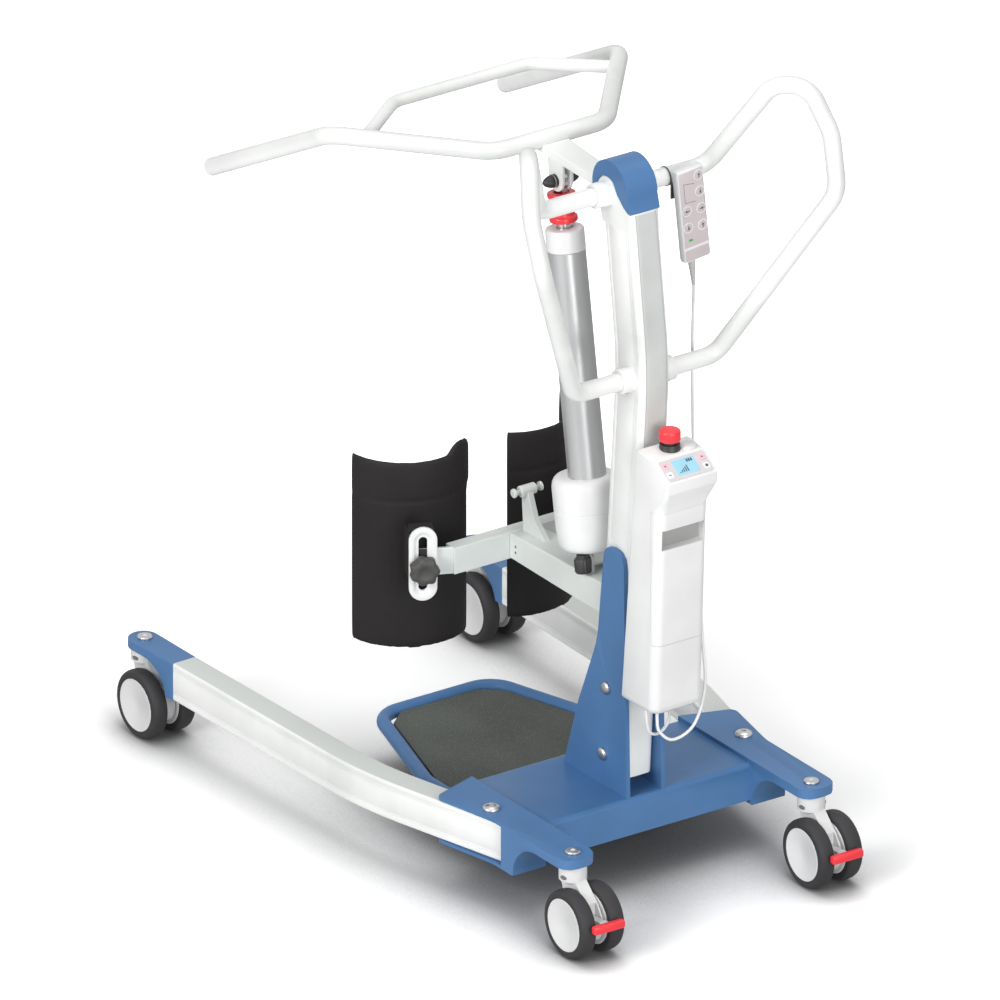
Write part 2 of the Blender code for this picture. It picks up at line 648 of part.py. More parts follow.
def knee_support():
    """The beam in front of the mast with its crossbar, and a height-adjustable pad at each end."""
    foot_y, foot_z = ahead(ACTUATOR_FOOT[0]), ACTUATOR_FOOT[1]
    beam = [(ahead(0.1832), 0.386), (ahead(0.408), 0.388)]
    beam += [(ahead(0.408), 0.426), (ahead(0.1798), 0.434)]
    ear = [(foot_y - 0.015, 0.425), (foot_y + 0.015, 0.425)] + arc(foot_y, foot_z, 0.012, 0, 180)
    post = [(ahead(0.346), 0.424), (ahead(0.393), 0.488)]
    post += [(ahead(0.409), 0.488), (ahead(0.404), 0.420)]
    hook_y, hook_z = ahead(0.401), 0.488
    parts = [prism(ear, "X", side * 0.0095, side * 0.0135) for side in SIDES.values()]
    parts += [
        rod((-0.0145, foot_y, foot_z), (0.0145, foot_y, foot_z), 0.005, 12),
        prism(post, "X", -0.004, 0.004),
        rod((-0.012, hook_y, hook_z), (0.012, hook_y, hook_z), 0.008, 12),
        rod((-0.0235, hook_y, hook_z), (0.0235, hook_y, hook_z), 0.003, 12),
        rod((-0.0245, hook_y, hook_z), (-0.0195, hook_y, hook_z), 0.0065, 12),
        rod((0.0195, hook_y, hook_z), (0.0245, hook_y, hook_z), 0.0065, 12),
    ]
    piece("knee_beam", join(prism(beam, "X", -0.025, 0.025), *parts), PAINT_WHITE)

    # The two ends of the crossbar are flattened, bent parallel to the pads and drilled for the knobs
    normal = Vector((math.sin(PAD_TURN), math.cos(PAD_TURN), 0))
    chord = Vector((math.cos(PAD_TURN), -math.sin(PAD_TURN), 0))
    centre = Vector((PAD_CENTRE[0], ahead(PAD_CENTRE[1]), PLATE_HEIGHT))
    apex = centre + normal * PAD_SAGITTA
    bar = box((-0.117, 0.117), (ahead(0.4083) - 0.022, ahead(0.4083)), (0.386, 0.426))
    mirror = Matrix.Scale(-1, 4, (1, 0, 0))
    turn = Matrix(((chord.x, normal.x, 0), (chord.y, normal.y, 0), (0, 0, 1)))
    frame = Matrix.Translation(apex) @ turn.to_4x4()

    def beside(item, side):
        """Puts a solid drawn in the left pad's frame (chord, normal, height) in its place."""
        item = moved(item, frame if side > 0 else mirror @ frame)
        if side < 0:
            item.data.flip_normals()
        return item

    for side in SIDES.values():
        bar = join(bar, beside(box((-0.050, 0.012), (0.0575, 0.0630), (-0.020, 0.020)), side))
    for side in SIDES.values():
        bar = cut(bar, beside(rod((0, 0.04, KNOB_DROP), (0, 0.08, KNOB_DROP), 0.0044, 12), side))
    piece("knee_crossbar", bar, PAINT_WHITE)

    for name, side in SIDES.items():
        spot = frame @ Vector((0, 0.07, KNOB_DROP))
        spot.x *= side
        pad_axis = axis_at("knee_pad_" + name, (side * apex.x, apex.y, apex.z))
        piece("knee_pad_" + name, beside(knee_pad(side), side), PAD_BLACK, pad_axis)
        oval = [(0.0200 * u, 0.0555 * v, 0.0199) for u, v in CORNERS]
        slot = [(0.0062 * u, 0.0405 * v, 0.0061) for u, v in CORNERS]
        plate = prism(outline(oval, 5), "Y", 0.0635, 0.0695)
        plate = cut(plate, prism(outline(slot), "Y", 0.05, 0.08))
        piece("knee_plate_" + name, beside(plate, side), PLASTIC_WHITE, pad_axis)
        knob_axis = axis_at("knee_knob_" + name, spot)
        piece("knee_knob_" + name, beside(lobed_knob(), side), PLASTIC_BLACK, knob_axis)


def knee_pad(side):
    """A pad in the left pad's frame: a curved shell of foam with drawn-in edges, an ear on one top
    corner and, behind it, the block that the slotted plate is screwed to. Both pads are the same
    part, so the ear is on the inner corner of the left one and on the outer corner of the right."""
    radius = (PAD_HALF_CHORD**2 + PAD_SAGITTA**2) / (2 * PAD_SAGITTA)
    spread = math.asin(PAD_HALF_CHORD / radius)
    across, up = 16, 10
    outer, inner = [], []
    for j in range(up + 1):
        t = 2 * j / up - 1
        for i in range(across + 1):
            s = 2 * i / across - 1
            rise = min(1.0, max(0.0, -s * side - 0.52) / 0.20)
            fall = max(0.0, -s * side - 0.80) / 0.20
            ear = math.sin(rise * math.pi / 2) ** 2 - 1.1 * (1 - math.sqrt(1 - min(1.0, fall) ** 2))
            flap = min(1.0, max(0.0, t - 0.5) / 0.1) * max(0.0, -s * side - 0.75) / 0.25
            height = -0.0185 + 0.1415 * t + 0.0135 * ear * max(0.0, t) ** 3
            angle = s * spread * (1 + 0.10 * flap)
            edge = (1 - abs(s) ** 6) ** 0.5 * (1 - abs(t) ** 10) ** 0.5
            thick = 0.007 + 0.012 * edge
            for skin, r in ((outer, radius - 0.003 * (1 - edge)), (inner, radius - thick)):
                skin.append(Vector((r * math.sin(angle), r * math.cos(angle) - radius, height)))
    row = across + 1
    base = len(outer)
    faces = []
    for j in range(up):
        for i in range(across):
            a = j * row + i
            quad = (a, a + 1, a + 1 + row, a + row)
            faces += [quad, tuple(base + k for k in quad)]
    for i in range(across):
        for a in (i, up * row + i):
            faces.append((a, a + 1, base + a + 1, base + a))
    for j in range(up):
        for a in (j * row, j * row + across):
            faces.append((a, a + row, base + a + row, base + a))
    shell = solid(outer + inner, faces)
    half = [(-0.008, 0.034), (0.036, 0.036), (0.042, 0.0515), (0.0632, 0.0515), (0.0632, 0.0466)]
    half += [(0.0485, 0.0466)]
    bracket = half + [(depth, -height) for depth, height in reversed(half)]
    return join(shell, prism(bracket, "X", -0.016, 0.016))


def lobed_knob():
    """A seven-lobed clamping knob with its bolt, in the left pad's frame."""
    rings = []
    for size, depth in ((0.80, 0.0700), (1.0, 0.0730), (1.0, 0.0850), (0.80, 0.0895)):
        ring = []
        for k in range(28):
            turn = math.pi * k / 14
            r = size * (0.0198 + 0.0016 * math.cos(7 * turn))
            ring.append(Vector((r * math.cos(turn), depth, KNOB_DROP + r * math.sin(turn))))
        rings.append(ring)
    return join(stacked(rings), rod((0, 0.052, KNOB_DROP), (0, 0.075, KNOB_DROP), 0.004, 12))


def control_box():
    """The control box behind the mast, with its battery pack, display and emergency stop."""
    half = 0.043
    shape = outline(
        [
            (ahead(0.112), 0.289, 0.008),
            (ahead(0.0335), 0.289, 0.014),
            (ahead(0.0215), 0.575),
            (ahead(0.0190), 0.606),
            (ahead(0.0005), 0.640, 0.004),
            (ahead(0.0), 0.6565, 0.003),
            (ahead(0.035), 0.6795),
            (ahead(0.0765), 0.684, 0.006),
        ]
    )
    stop_y = ahead(0.056)
    case = join(
        softened(prism(shape, "X", -half, half), 0.004),
        box((-0.012, 0.012), (ahead(0.1124), ahead(0.100)), (0.360, 0.390)),
        box((-0.012, 0.012), (ahead(0.0940), ahead(0.078)), (0.620, 0.650)),
        turned([(0.0142, 0.679), (0.0142, 0.6884), (0.0138, 0.6889)], (0, stop_y, 0), (0, 0, 1), 20),
    )
    case = cut(
        case,
        box((-0.05, 0.05), (ahead(0.0400), ahead(-0.02)), (0.3982, 0.6028)),
        box((-0.0364, 0.0364), (ahead(0.0853), ahead(0.03)), (0.4047, 0.5963)),
        rod((0, stop_y, 0.6822), (0, stop_y, 0.70), 0.0105, 20),
    )
    piece("control_box", case, PLASTIC_WHITE)

    slab = [
        (ahead(0.0397), 0.3985),
        (ahead(0.0290), 0.3985),
        (ahead(0.0215), 0.575),
        (ahead(0.0193), 0.6025),
        (ahead(0.0397), 0.6025),
    ]
    pack = join(
        prism(slab, "X", -half, half),
        box((-0.036, 0.036), (ahead(0.085), ahead(0.035)), (0.405, 0.596)),
    )
    pack = cut(pack, box((-0.035, 0.035), (ahead(0.036), ahead(0)), (0.546, 0.576)))
    piece("battery_pack", pack, PLASTIC_WHITE, axis_at("battery", (0, ahead(0.0397), 0.5)))

    low, high = Vector((ahead(0), 0.6565)), Vector((ahead(0.035), 0.6795))
    slope = (high - low).normalized()
    out = Vector((-slope.y, slope.x)) * -1
    middle = (low + high) / 2 + out * GAP
    edges = ((-0.0175, 0), (0.0175, 0), (0.0175, 0.001), (-0.0175, 0.001))
    foil = [middle + slope * a + out * b for a, b in edges]
    piece("display_panel", prism(foil, "X", -0.0375, 0.0375), PLASTIC_GREY)

    button = [(0.010, 0.6870), (0.010, 0.6933), (0.0146, 0.6938), (0.0152, 0.6950), (0.0152, 0.7070)]
    button += [(0.0143, 0.7090), (0.012, 0.7097)]
    axis = axis_at("emergency_stop", (0, stop_y, 0.687))
    piece("emergency_stop", turned(button, (0, stop_y, 0), (0, 0, 1)), PLASTIC_RED, axis)


def handset():
    """The handset hanging on the right push handle by its hook, with six buttons."""
    face, back = ahead(HANDSET_FACE), ahead(HANDSET_BACK)
    case = softened(box((-0.0225, 0.0225), (back, face), (-0.071, 0.071)), 0.004)
    hung = Matrix.Translation((HANDSET_CENTRE[0], 0, HANDSET_CENTRE[1]))
    case = moved(case, hung @ Matrix.Rotation(HANDSET_SKEW, 4, "Y"))
    for x, z in BUTTONS.values():
        case = cut(case, rod((x, face - 0.003, z), (x, face + 0.01, z), 0.0063, 12))
    piece("handset_case", case, PLASTIC_WHITE)
    for name, (x, z) in BUTTONS.items():
        cap = [(0.006, -0.0018), (0.006, 0.0006), (0.0045, 0.0012)]
        axis = axis_at("button_" + name, (x, face, z))
        piece("handset_button_" + name, turned(cap, (x, face, z), (0, 1, 0), 12), PLASTIC_GREY, axis)

    y, z = ahead(ARM_PIVOT[0]), ARM_PIVOT[1]
    clip = cut(
        rod((-0.088, y, z), (-0.080, y, z), 0.0155, 20),
        rod((-0.10, y, z), (-0.07, y, z), TUBE_RADIUS + GAP, 20),
        box((-0.10, -0.07), (y - 0.03, y - 0.002), (z - 0.008, z + 0.008)),
    )
    tongue = box((-0.110, -0.080), (ahead(0.1588), back - GAP), (1.000, 1.026))
    piece("handset_hook", join(clip, tongue), PLASTIC_BLACK)
    relief = [(0.0030, 0), (0.0055, 0.0318), (0.0060, 0.0390)]
    x, distance, z = HANDSET_ROUTE[0]
    along = (math.sin(HANDSET_SKEW), 0, math.cos(HANDSET_SKEW))
    relief = turned(relief, (x, ahead(distance), z + 0.0005), along, 16)
    piece("handset_relief", relief, PLASTIC_GREY)


def smooth(route, spacing):
    """Points at an even spacing on a smooth curve through a route's points."""
    spots = [Vector((x, ahead(d), z)) for x, d, z in route]
    spots = [2 * spots[0] - spots[1], *spots, 2 * spots[-1] - spots[-2]]
    fine = []
    for a, b, c, d in zip(spots, spots[1:], spots[2:], spots[3:]):
        for k in range(40):
            t = k / 40
            cubic = (3 * b - a - 3 * c + d) * t**3
            fine.append((2 * b + (c - a) * t + (2 * a - 5 * b + 4 * c - d) * t**2 + cubic) / 2)
    fine.append(spots[-2])
    length = sum((b - a).length for a, b in zip(fine, fine[1:]))
    count = round(length / spacing)
    points, gone, wanted = [fine[0]], 0.0, 1
    for a, b in zip(fine, fine[1:]):
        step = (b - a).length
        while wanted < count and gone + step >= wanted * length / count:
            points.append(a.lerp(b, (wanted * length / count - gone) / step))
            wanted += 1
        gone += step
    return [*points, fine[-1]]


def cable(name, route, radius=0.0022, spacing=0.0180):
    """A thin white cord, as a bevelled curve through its route."""
    points = smooth(route, spacing)
    curve = bpy.data.curves.new(name, "CURVE")
    curve.dimensions = "3D"
    curve.bevel_depth = radius
    curve.bevel_resolution = 2
    curve.use_fill_caps = True
    spline = curve.splines.new("POLY")
    spline.points.add(len(points) - 1)
    for point, spot in zip(spline.points, points):
        point.co = (*spot, 1)
    item = bpy.data.objects.new(name, curve)
    bpy.context.scene.collection.objects.link(item)
    look = bpy.data.materials.new(name)
    look.use_nodes = True
    look.node_tree.nodes["Principled BSDF"].inputs["Base Color"].default_value = (*PLASTIC_WHITE[0], 1)
    curve.materials.append(look)


clear_scene()
base()
running_gear()
leg_drive()
mast()
lifting_arm()
actuator()
knee_support()
control_box()
handset()
cable("handset_cable", HANDSET_ROUTE)
cable("actuator_cable", ACTUATOR_ROUTE)
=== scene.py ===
import math

import bmesh
import bpy
import numpy as np
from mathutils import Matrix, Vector


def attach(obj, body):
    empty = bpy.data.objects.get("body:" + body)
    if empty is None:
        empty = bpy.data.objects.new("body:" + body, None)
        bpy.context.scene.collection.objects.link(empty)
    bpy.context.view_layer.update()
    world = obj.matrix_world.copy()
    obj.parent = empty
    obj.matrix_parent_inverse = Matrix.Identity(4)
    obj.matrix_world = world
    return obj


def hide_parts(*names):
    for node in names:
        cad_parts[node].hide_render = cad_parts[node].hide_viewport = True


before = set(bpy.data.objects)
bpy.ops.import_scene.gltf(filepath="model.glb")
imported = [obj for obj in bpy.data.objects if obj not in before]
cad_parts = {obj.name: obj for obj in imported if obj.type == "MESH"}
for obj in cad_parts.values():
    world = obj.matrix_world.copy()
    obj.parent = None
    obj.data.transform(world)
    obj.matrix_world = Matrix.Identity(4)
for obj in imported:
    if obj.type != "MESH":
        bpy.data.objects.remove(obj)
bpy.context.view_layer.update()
X, Y, Z = (1, 0, 0), (0, 1, 0), (0, 0, 1)
SIDES = (("left", 1), ("right", -1))  # each side's name, and the sign of its x

# ---- The studio ----
# A white floor that runs on to the horizon, three broad lamps on the carer's left, overhead and behind, and
# a camera far off with a long lens. Only the camera sees the floor's glow and a painted shadow that darkens
# the floor near things.
CAMERA_TARGET = Vector((-0.083, -0.155, 0.380))
CAMERA_DISTANCE = 57.98  # far enough for the photograph's almost flat perspective
camera = bpy.data.objects.new("camera", bpy.data.cameras.new("camera"))
bpy.context.scene.collection.objects.link(camera)
camera.data.lens = 1500
camera.data.sensor_width = 36
camera.data.clip_end = 200
toward_camera = Vector((0.517, 0.747, 0.418)).normalized()
camera.location = CAMERA_TARGET + toward_camera * CAMERA_DISTANCE
camera.rotation_euler = (-toward_camera).to_track_quat("-Z", "Y").to_euler()
bpy.context.scene.camera = camera
bpy.context.scene.view_settings.view_transform = "Standard"


class Value:
    """One socket of a material's nodes. Sums, products and comparisons on it add Math nodes."""

    def __init__(self, look, socket):
        self.look = look
        self.socket = socket

    def math(self, operation, *others):
        return self.look.node("ShaderNodeMath", {"operation": operation}, self, *others)

    def __add__(self, other):
        return self.math("ADD", other)

    def __mul__(self, other):
        return self.math("MULTIPLY", other)

    def __sub__(self, other):
        return self.math("SUBTRACT", other)

    def __pow__(self, other):
        return self.math("POWER", other)

    def __abs__(self):
        return self.math("ABSOLUTE")

    def __gt__(self, other):
        return self.math("GREATER_THAN", other)

    def __lt__(self, other):
        return self.math("LESS_THAN", other)

    __radd__ = __add__


class Look:
    """The nodes of one material or of the world."""

    def __init__(self, owner):
        owner.use_nodes = True
        self.owner = owner
        self.tree = owner.node_tree

    def node(self, kind, settings, *values, out=0, **named):
        """Adds a node: its type, its settings, then its sockets' values or links, in order or by name."""
        made = self.tree.nodes.new(kind)
        for key, value in settings.items():
            setattr(made, key, value)
        for socket, value in zip(made.inputs, values):
            self.feed(socket, value)
        for key, value in named.items():
            self.feed(made.inputs[key], value)
        return Value(self, made.outputs[out])

    def feed(self, socket, value):
        if isinstance(value, Value):
            self.tree.links.new(value.socket, socket)
        elif value is not None:
            socket.default_value = value

    def blend(self, share, first, second):
        """The first colour, which turns into the second as share goes from 0 to 1."""
        pick = (share, None, None, None, None, None, (*first, 1) if isinstance(first, tuple) else first)
        last = (*second, 1) if isinstance(second, tuple) else second
        return self.node("ShaderNodeMix", {"data_type": "RGBA"}, *pick, last, out=2)

    def band(self, value, low, high):
        """0 below low and 1 above high, with a soft step between."""
        settings = {"interpolation_type": "SMOOTHSTEP"}
        return self.node("ShaderNodeMapRange", settings, value, low, high, 0.0, 1.0)


def tint(red, green, blue):
    """A colour on the 0 to 255 scale of a picture, as the linear colour that Blender takes."""
    shares = (value / 255 for value in (red, green, blue))
    return tuple(s / 12.92 if s < 0.04045 else ((s + 0.055) / 1.055) ** 2.4 for s in shares)


world = bpy.data.worlds.new("studio")
bpy.context.scene.world = world
room = Look(world)
rays = room.tree.nodes.new("ShaderNodeLightPath")
unseen = [
    Value(room, rays.outputs[name])
    for name in ("Is Camera Ray", "Is Glossy Ray", "Is Transmission Ray")
]
white_out = unseen[0].math("MAXIMUM", unseen[1]).math("MAXIMUM", unseen[2])
backdrop = room.tree.nodes["Background"]
room.feed(backdrop.inputs["Color"], (1, 1, 1, 1))
room.feed(backdrop.inputs["Strength"], white_out * 0.77 + 0.23)

floor_mesh = bpy.data.meshes.new("floor")
FLOOR_HALF = 60
square = [(u * FLOOR_HALF, v * FLOOR_HALF, 0) for u, v in ((-1, -1), (1, -1), (1, 1), (-1, 1))]
floor_mesh.from_pydata(square, [], [(0, 1, 2, 3)])
floor = bpy.data.objects.new("floor", floor_mesh)
bpy.context.scene.collection.objects.link(floor)
floor_look = Look(bpy.data.materials.new("floor"))
floor_mesh.materials.append(floor_look.owner)
shader = floor_look.tree.nodes["Principled BSDF"]
seen = Value(floor_look, floor_look.tree.nodes.new("ShaderNodeLightPath").outputs["Is Camera Ray"])
# Painted shadow: ambient occlusion darkens the floor's colour near things, for the camera only.
near = floor_look.node("ShaderNodeAmbientOcclusion", {"samples": 8}, None, 0.30, out=1)
floor_tone_and_painted_shadow = floor_look.blend(near**1.6, (0.10, 0.10, 0.10), (1.42, 1.42, 1.42))
floor_look.feed(shader.inputs["Base Color"], floor_look.blend(seen, (0.66, 0.66, 0.66), floor_tone_and_painted_shadow))
floor_look.feed(shader.inputs["Roughness"], 1.0)
floor_look.feed(shader.inputs["Specular IOR Level"], 0.0)
spot = floor_look.node("ShaderNodeTexCoord", {}, out=3)
away = floor_look.node("ShaderNodeVectorMath", {"operation": "LENGTH"}, spot, out=1)
floor_look.feed(shader.inputs["Emission Color"], seen * (0.01 + floor_look.band(away, 0.6, 1.6) * 0.93))
floor_look.feed(shader.inputs["Emission Strength"], 1.0)

for name, place, size, power in (
    ("side_lamp", (4.2, 0.9, 2.4), 2.4, 138), ("top_lamp", (-0.4, 0.3, 4.6), 2.6, 78),
    ("rear_lamp", (0.8, 4.6, 1.6), 2.6, 118),
):
    lamp = bpy.data.objects.new(name, bpy.data.lights.new(name, "AREA"))
    bpy.context.scene.collection.objects.link(lamp)
    lamp.data.size = size
    lamp.data.energy = power
    lamp.location = place
    lamp.rotation_euler = (Vector((0, 0, 0.5)) - lamp.location).to_track_quat("-Z", "Y").to_euler()

# ---- The two cords ----
# Thin white round cables with a smooth jacket. One hangs from the handset to the control box, and one
# goes from the control box round the mast to the foot of the actuator. Both plug in under the box.
REAR = 0.432  # the y of the rear castors' stems; some places are given as lengths ahead of it
CORD = 0.0044  # both cords' diameter


def coat(name, slot, colour, roughness=0.45, grain=0.05, lumps=900, mottle=0.03, metallic=0.0, shine=0.0):
    """A finish with a fine grain in its relief, slow changes of tone and slightly uneven gloss. The slot
    given is kept on it."""
    look = Look(bpy.data.materials.new(name))
    look.slot = slot
    look.place = look.node("ShaderNodeTexCoord", {}, out=3)
    look.shader = look.tree.nodes["Principled BSDF"]
    look.feed(look.shader.inputs["Metallic"], metallic)
    look.feed(look.shader.inputs["Coat Weight"], shine)
    fine = look.node("ShaderNodeTexNoise", {}, look.place, None, lumps, 2.0)
    slow = look.node("ShaderNodeTexNoise", {}, look.place, None, 9.0, 3.0)
    darker = tuple(c * (1 - mottle * 2) for c in colour)
    lighter = tuple(min(1.0, c * (1 + mottle)) for c in colour)
    look.tone = darker
    recolour(look, look.band(slow, 0.3, 0.7), lighter)
    look.feed(look.shader.inputs["Roughness"], roughness + (fine - 0.5) * 0.12 + (slow - 0.5) * 0.10)
    look.height = fine * (grain / 1000)
    emboss(look)
    return look


def recolour(look, share, colour):
    """Turns a finish's base colour into another one as the share goes from 0 to 1."""
    look.tone = look.blend(share, look.tone, colour)
    look.feed(look.shader.inputs["Base Color"], look.tone)


def emboss(look, extra=None):
    """Feeds the relief, in metres, to the shader's normal."""
    if extra is not None:
        look.height = look.height + extra
    for link in list(look.tree.links):
        if link.to_socket == look.shader.inputs["Normal"]:
            look.tree.nodes.remove(link.from_node)
    bump = look.node("ShaderNodeBump", {}, Height=look.height, Distance=1.0, Strength=1.0)
    look.feed(look.shader.inputs["Normal"], bump)


def smooth_route(corners, spacing):
    """Points at an even spacing on a smooth curve through the corners: a Catmull-Rom spline, read at
    equal lengths along it."""
    spots = np.array([(x, REAR - ahead, z) for x, ahead, z in corners])
    spots = np.vstack([2 * spots[0] - spots[1], spots, 2 * spots[-1] - spots[-2]])
    a, b, c, d = (spots[k : len(spots) - 3 + k][:, None, :] for k in range(4))
    t = np.linspace(0, 1, 60, endpoint=False)[None, :, None]
    cubic = (3 * b - a - 3 * c + d) * t**3
    fine = (2 * b + (c - a) * t + (2 * a - 5 * b + 4 * c - d) * t**2 + cubic) / 2
    fine = np.vstack([fine.reshape(-1, 3), spots[-2]])
    gone = np.concatenate([[0], np.cumsum(np.linalg.norm(np.diff(fine, axis=0), axis=1))])
    wanted = np.linspace(0, gone[-1], round(gone[-1] / spacing) + 1)
    return np.column_stack([np.interp(wanted, gone, fine[:, k]) for k in range(3)]), float(gone[-1])


cable_jacket = coat(
    "cable_jacket", "white_plastic", (0.80, 0.81, 0.80), roughness=0.42, grain=0.02, lumps=1500
)


def cord_piece(name, node, corners):
    """One cord: a round tube on its route."""
    route, length = smooth_route(corners, 0.006)
    curve = bpy.data.curves.new(name, "CURVE")
    curve.dimensions = "3D"
    curve.bevel_depth = CORD / 2
    curve.bevel_resolution = 4
    curve.use_fill_caps = True
    spline = curve.splines.new("POLY")
    spline.points.add(len(route) - 1)
    spline.points.foreach_set("co", np.column_stack([route, np.ones(len(route))]).ravel())
    spline.use_smooth = True
    curve.materials.append(cable_jacket.owner)
    item = bpy.data.objects.new(name, curve)
    bpy.context.scene.collection.objects.link(item)
    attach(item, "frame")
    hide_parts(node)


cord_piece(
    "cord_handset", "handset_cable",
    (
        (-0.1015, 0.1445, 0.8700), (-0.1015, 0.1445, 0.8550), (-0.1005, 0.1460, 0.7700),
        (-0.0880, 0.1250, 0.6200), (-0.0700, 0.0900, 0.4800), (-0.0580, 0.0600, 0.3800),
        (-0.0530, 0.0460, 0.3100), (-0.0330, 0.0430, 0.2580), (0.0000, 0.0460, 0.2420),
        (0.0180, 0.0540, 0.2560), (0.0202, 0.0563, 0.2750), (0.0202, 0.0563, 0.2886),
    ),
)
cord_piece(
    "cord_actuator", "actuator_cable",
    (
        (0.0300, 0.0680, 0.2886), (0.0300, 0.0680, 0.2750), (0.0230, 0.0700, 0.2500),
        (0.0050, 0.0720, 0.2440), (-0.0200, 0.0850, 0.2540), (-0.0400, 0.1200, 0.2750),
        (-0.0440, 0.1550, 0.3400), (-0.0420, 0.2050, 0.4150), (-0.0330, 0.2370, 0.4420),
        (-0.0300, 0.2395, 0.4580),
    ),
)

# ---- The welded base ----
# Folded and welded steel sheet in a blue powder coat: a cross channel, two corner brackets and the two
# plates that clamp the mast. Its edges are slightly rounded by the coat, which also pools in the corners.


def powder(name, slot, colour, roughness=0.38):
    """Powder coat: a fine orange peel, and worn, slightly lighter edges where the surface bends sharply."""
    look = coat(name, slot, colour, roughness, grain=0.045, lumps=620, mottle=0.05)
    geometry = look.node("ShaderNodeNewGeometry", {}, out=7)
    edge = look.band(geometry, 0.505, 0.56) * 0.35
    worn = tuple(min(1.0, c * 1.25 + 0.03) for c in colour)
    recolour(look, edge, worn)
    return look


blue_coat = powder("blue_powder_coat", "blue_paint", tint(76, 117, 164))
blue_coat.feed(blue_coat.shader.inputs["Specular IOR Level"], 0.20)


def finished(name, mesh, look, body, nodes=(), sharp=30):
    """Turns a mesh into a piece: faces outwards, smooth with its sharp edges kept, riding on its body."""
    shape = bmesh.new()
    shape.from_mesh(mesh)
    bmesh.ops.remove_doubles(shape, verts=shape.verts, dist=2e-6)
    bmesh.ops.recalc_face_normals(shape, faces=shape.faces)
    shape.to_mesh(mesh)
    shape.free()
    mesh.materials.clear()
    mesh.materials.append(look.owner)
    mesh.shade_smooth()
    mesh.set_sharp_from_angle(angle=math.radians(sharp))
    item = bpy.data.objects.new(name, mesh)
    bpy.context.scene.collection.objects.link(item)
    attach(item, body)
    if nodes:
        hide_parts(*nodes)
    return item


def softened(item, width=0.001, segments=3, angle=35):
    """Rounds a piece's sharp edges with a Bevel."""
    bevel = item.modifiers.new("edges", "BEVEL")
    bevel.width = width
    bevel.segments = segments
    bevel.limit_method = "ANGLE"
    bevel.angle_limit = math.radians(angle)
    bevel.harden_normals = True
    return item


def rounded(name, node, look, body, width, within=None):
    """A CAD node's own shape with its edges rounded: a copy of its mesh, its doubles merged and its flat
    faces made whole, under a Bevel. Where a mesh is given to keep within, the rest is cut off first."""
    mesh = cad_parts[node].data.copy()
    shape = bmesh.new()
    shape.from_mesh(mesh)
    bmesh.ops.remove_doubles(shape, verts=shape.verts, dist=1e-5)
    flat = math.radians(0.4)
    bmesh.ops.dissolve_limit(shape, angle_limit=flat, verts=shape.verts, edges=shape.edges)
    shape.to_mesh(mesh)
    shape.free()
    if within is not None:
        pair = [bpy.data.objects.new("part", mesh), bpy.data.objects.new("bound", within)]
        for item in pair:
            bpy.context.scene.collection.objects.link(item)
        common = pair[0].modifiers.new("common", "BOOLEAN")
        common.operation = "INTERSECT"
        common.object = pair[1]
        mesh = bpy.data.meshes.new_from_object(pair[0].evaluated_get(bpy.context.evaluated_depsgraph_get()))
        for item in pair:
            bpy.data.objects.remove(item)
    return softened(finished(name, mesh, look, body, (node,)), width, angle=32)


rounded("base", "base_frame", blue_coat, "frame", 0.0015)


def line_through(corners, steps):
    """An open line whose corners are rounded: where a corner has a radius, an arc of equal steps that
    touches both of its sides."""
    spots = [np.array(corner[:3], float) for corner in corners]
    line = []
    for k, corner in enumerate(corners):
        if len(corner) == 3:
            line.append(spots[k][None, :])
            continue
        back = spots[k - 1] - spots[k]
        on = spots[k + 1] - spots[k]
        back, on = back / np.linalg.norm(back), on / np.linalg.norm(on)
        half = math.acos(float(back @ on)) / 2
        middle = (back + on) / np.linalg.norm(back + on)
        centre = spots[k] + middle * corner[3] / math.sin(half)
        first = spots[k] + back * corner[3] / math.tan(half) - centre
        last = spots[k] + on * corner[3] / math.tan(half) - centre
        turn = math.pi - 2 * half
        share = np.linspace(0, 1, steps + 1)[:, None]
        line.append(
            centre + (np.sin(turn * (1 - share)) * first + np.sin(turn * share) * last) / math.sin(turn)
        )
    return np.vstack(line)


def mm(*lengths):
    """A list of (a, b) points in metres, from their lengths in millimetres one after another."""
    return [(a / 1000, b / 1000) for a, b in zip(lengths[::2], lengths[1::2])]


def mirrored(half, k):
    """Half a line or profile, and the way back from its end: the same points with coordinate k reversed."""
    return half + [tuple(-v if i == k else v for i, v in enumerate(point)) for point in reversed(half)]


def carried(line, section, across):
    """A section of (across, up) points carried along a line: each ring lies square to the mean of the two
    runs that meet there, with its first direction kept as near as it can be to the one given."""
    runs = np.diff(line, axis=0)
    runs /= np.linalg.norm(runs, axis=1)[:, None]
    ways = np.vstack([runs[:1], runs[:-1] + runs[1:], runs[-1:]])
    ways /= np.linalg.norm(ways, axis=1)[:, None]
    side = np.array(across, float) - ways * (ways @ np.array(across, float))[:, None]
    side /= np.linalg.norm(side, axis=1)[:, None]
    up = np.cross(ways, side)
    section = np.asarray(section, float)
    if section.ndim == 2:
        section = section[None]
    return line[:, None, :] + side[:, None, :] * section[..., :1] + up[:, None, :] * section[..., 1:]


def ring(radius, sides):
    """A round section."""
    turn = np.linspace(0, 2 * math.pi, sides, endpoint=False)
    return np.column_stack([np.cos(turn), np.sin(turn)]) * radius


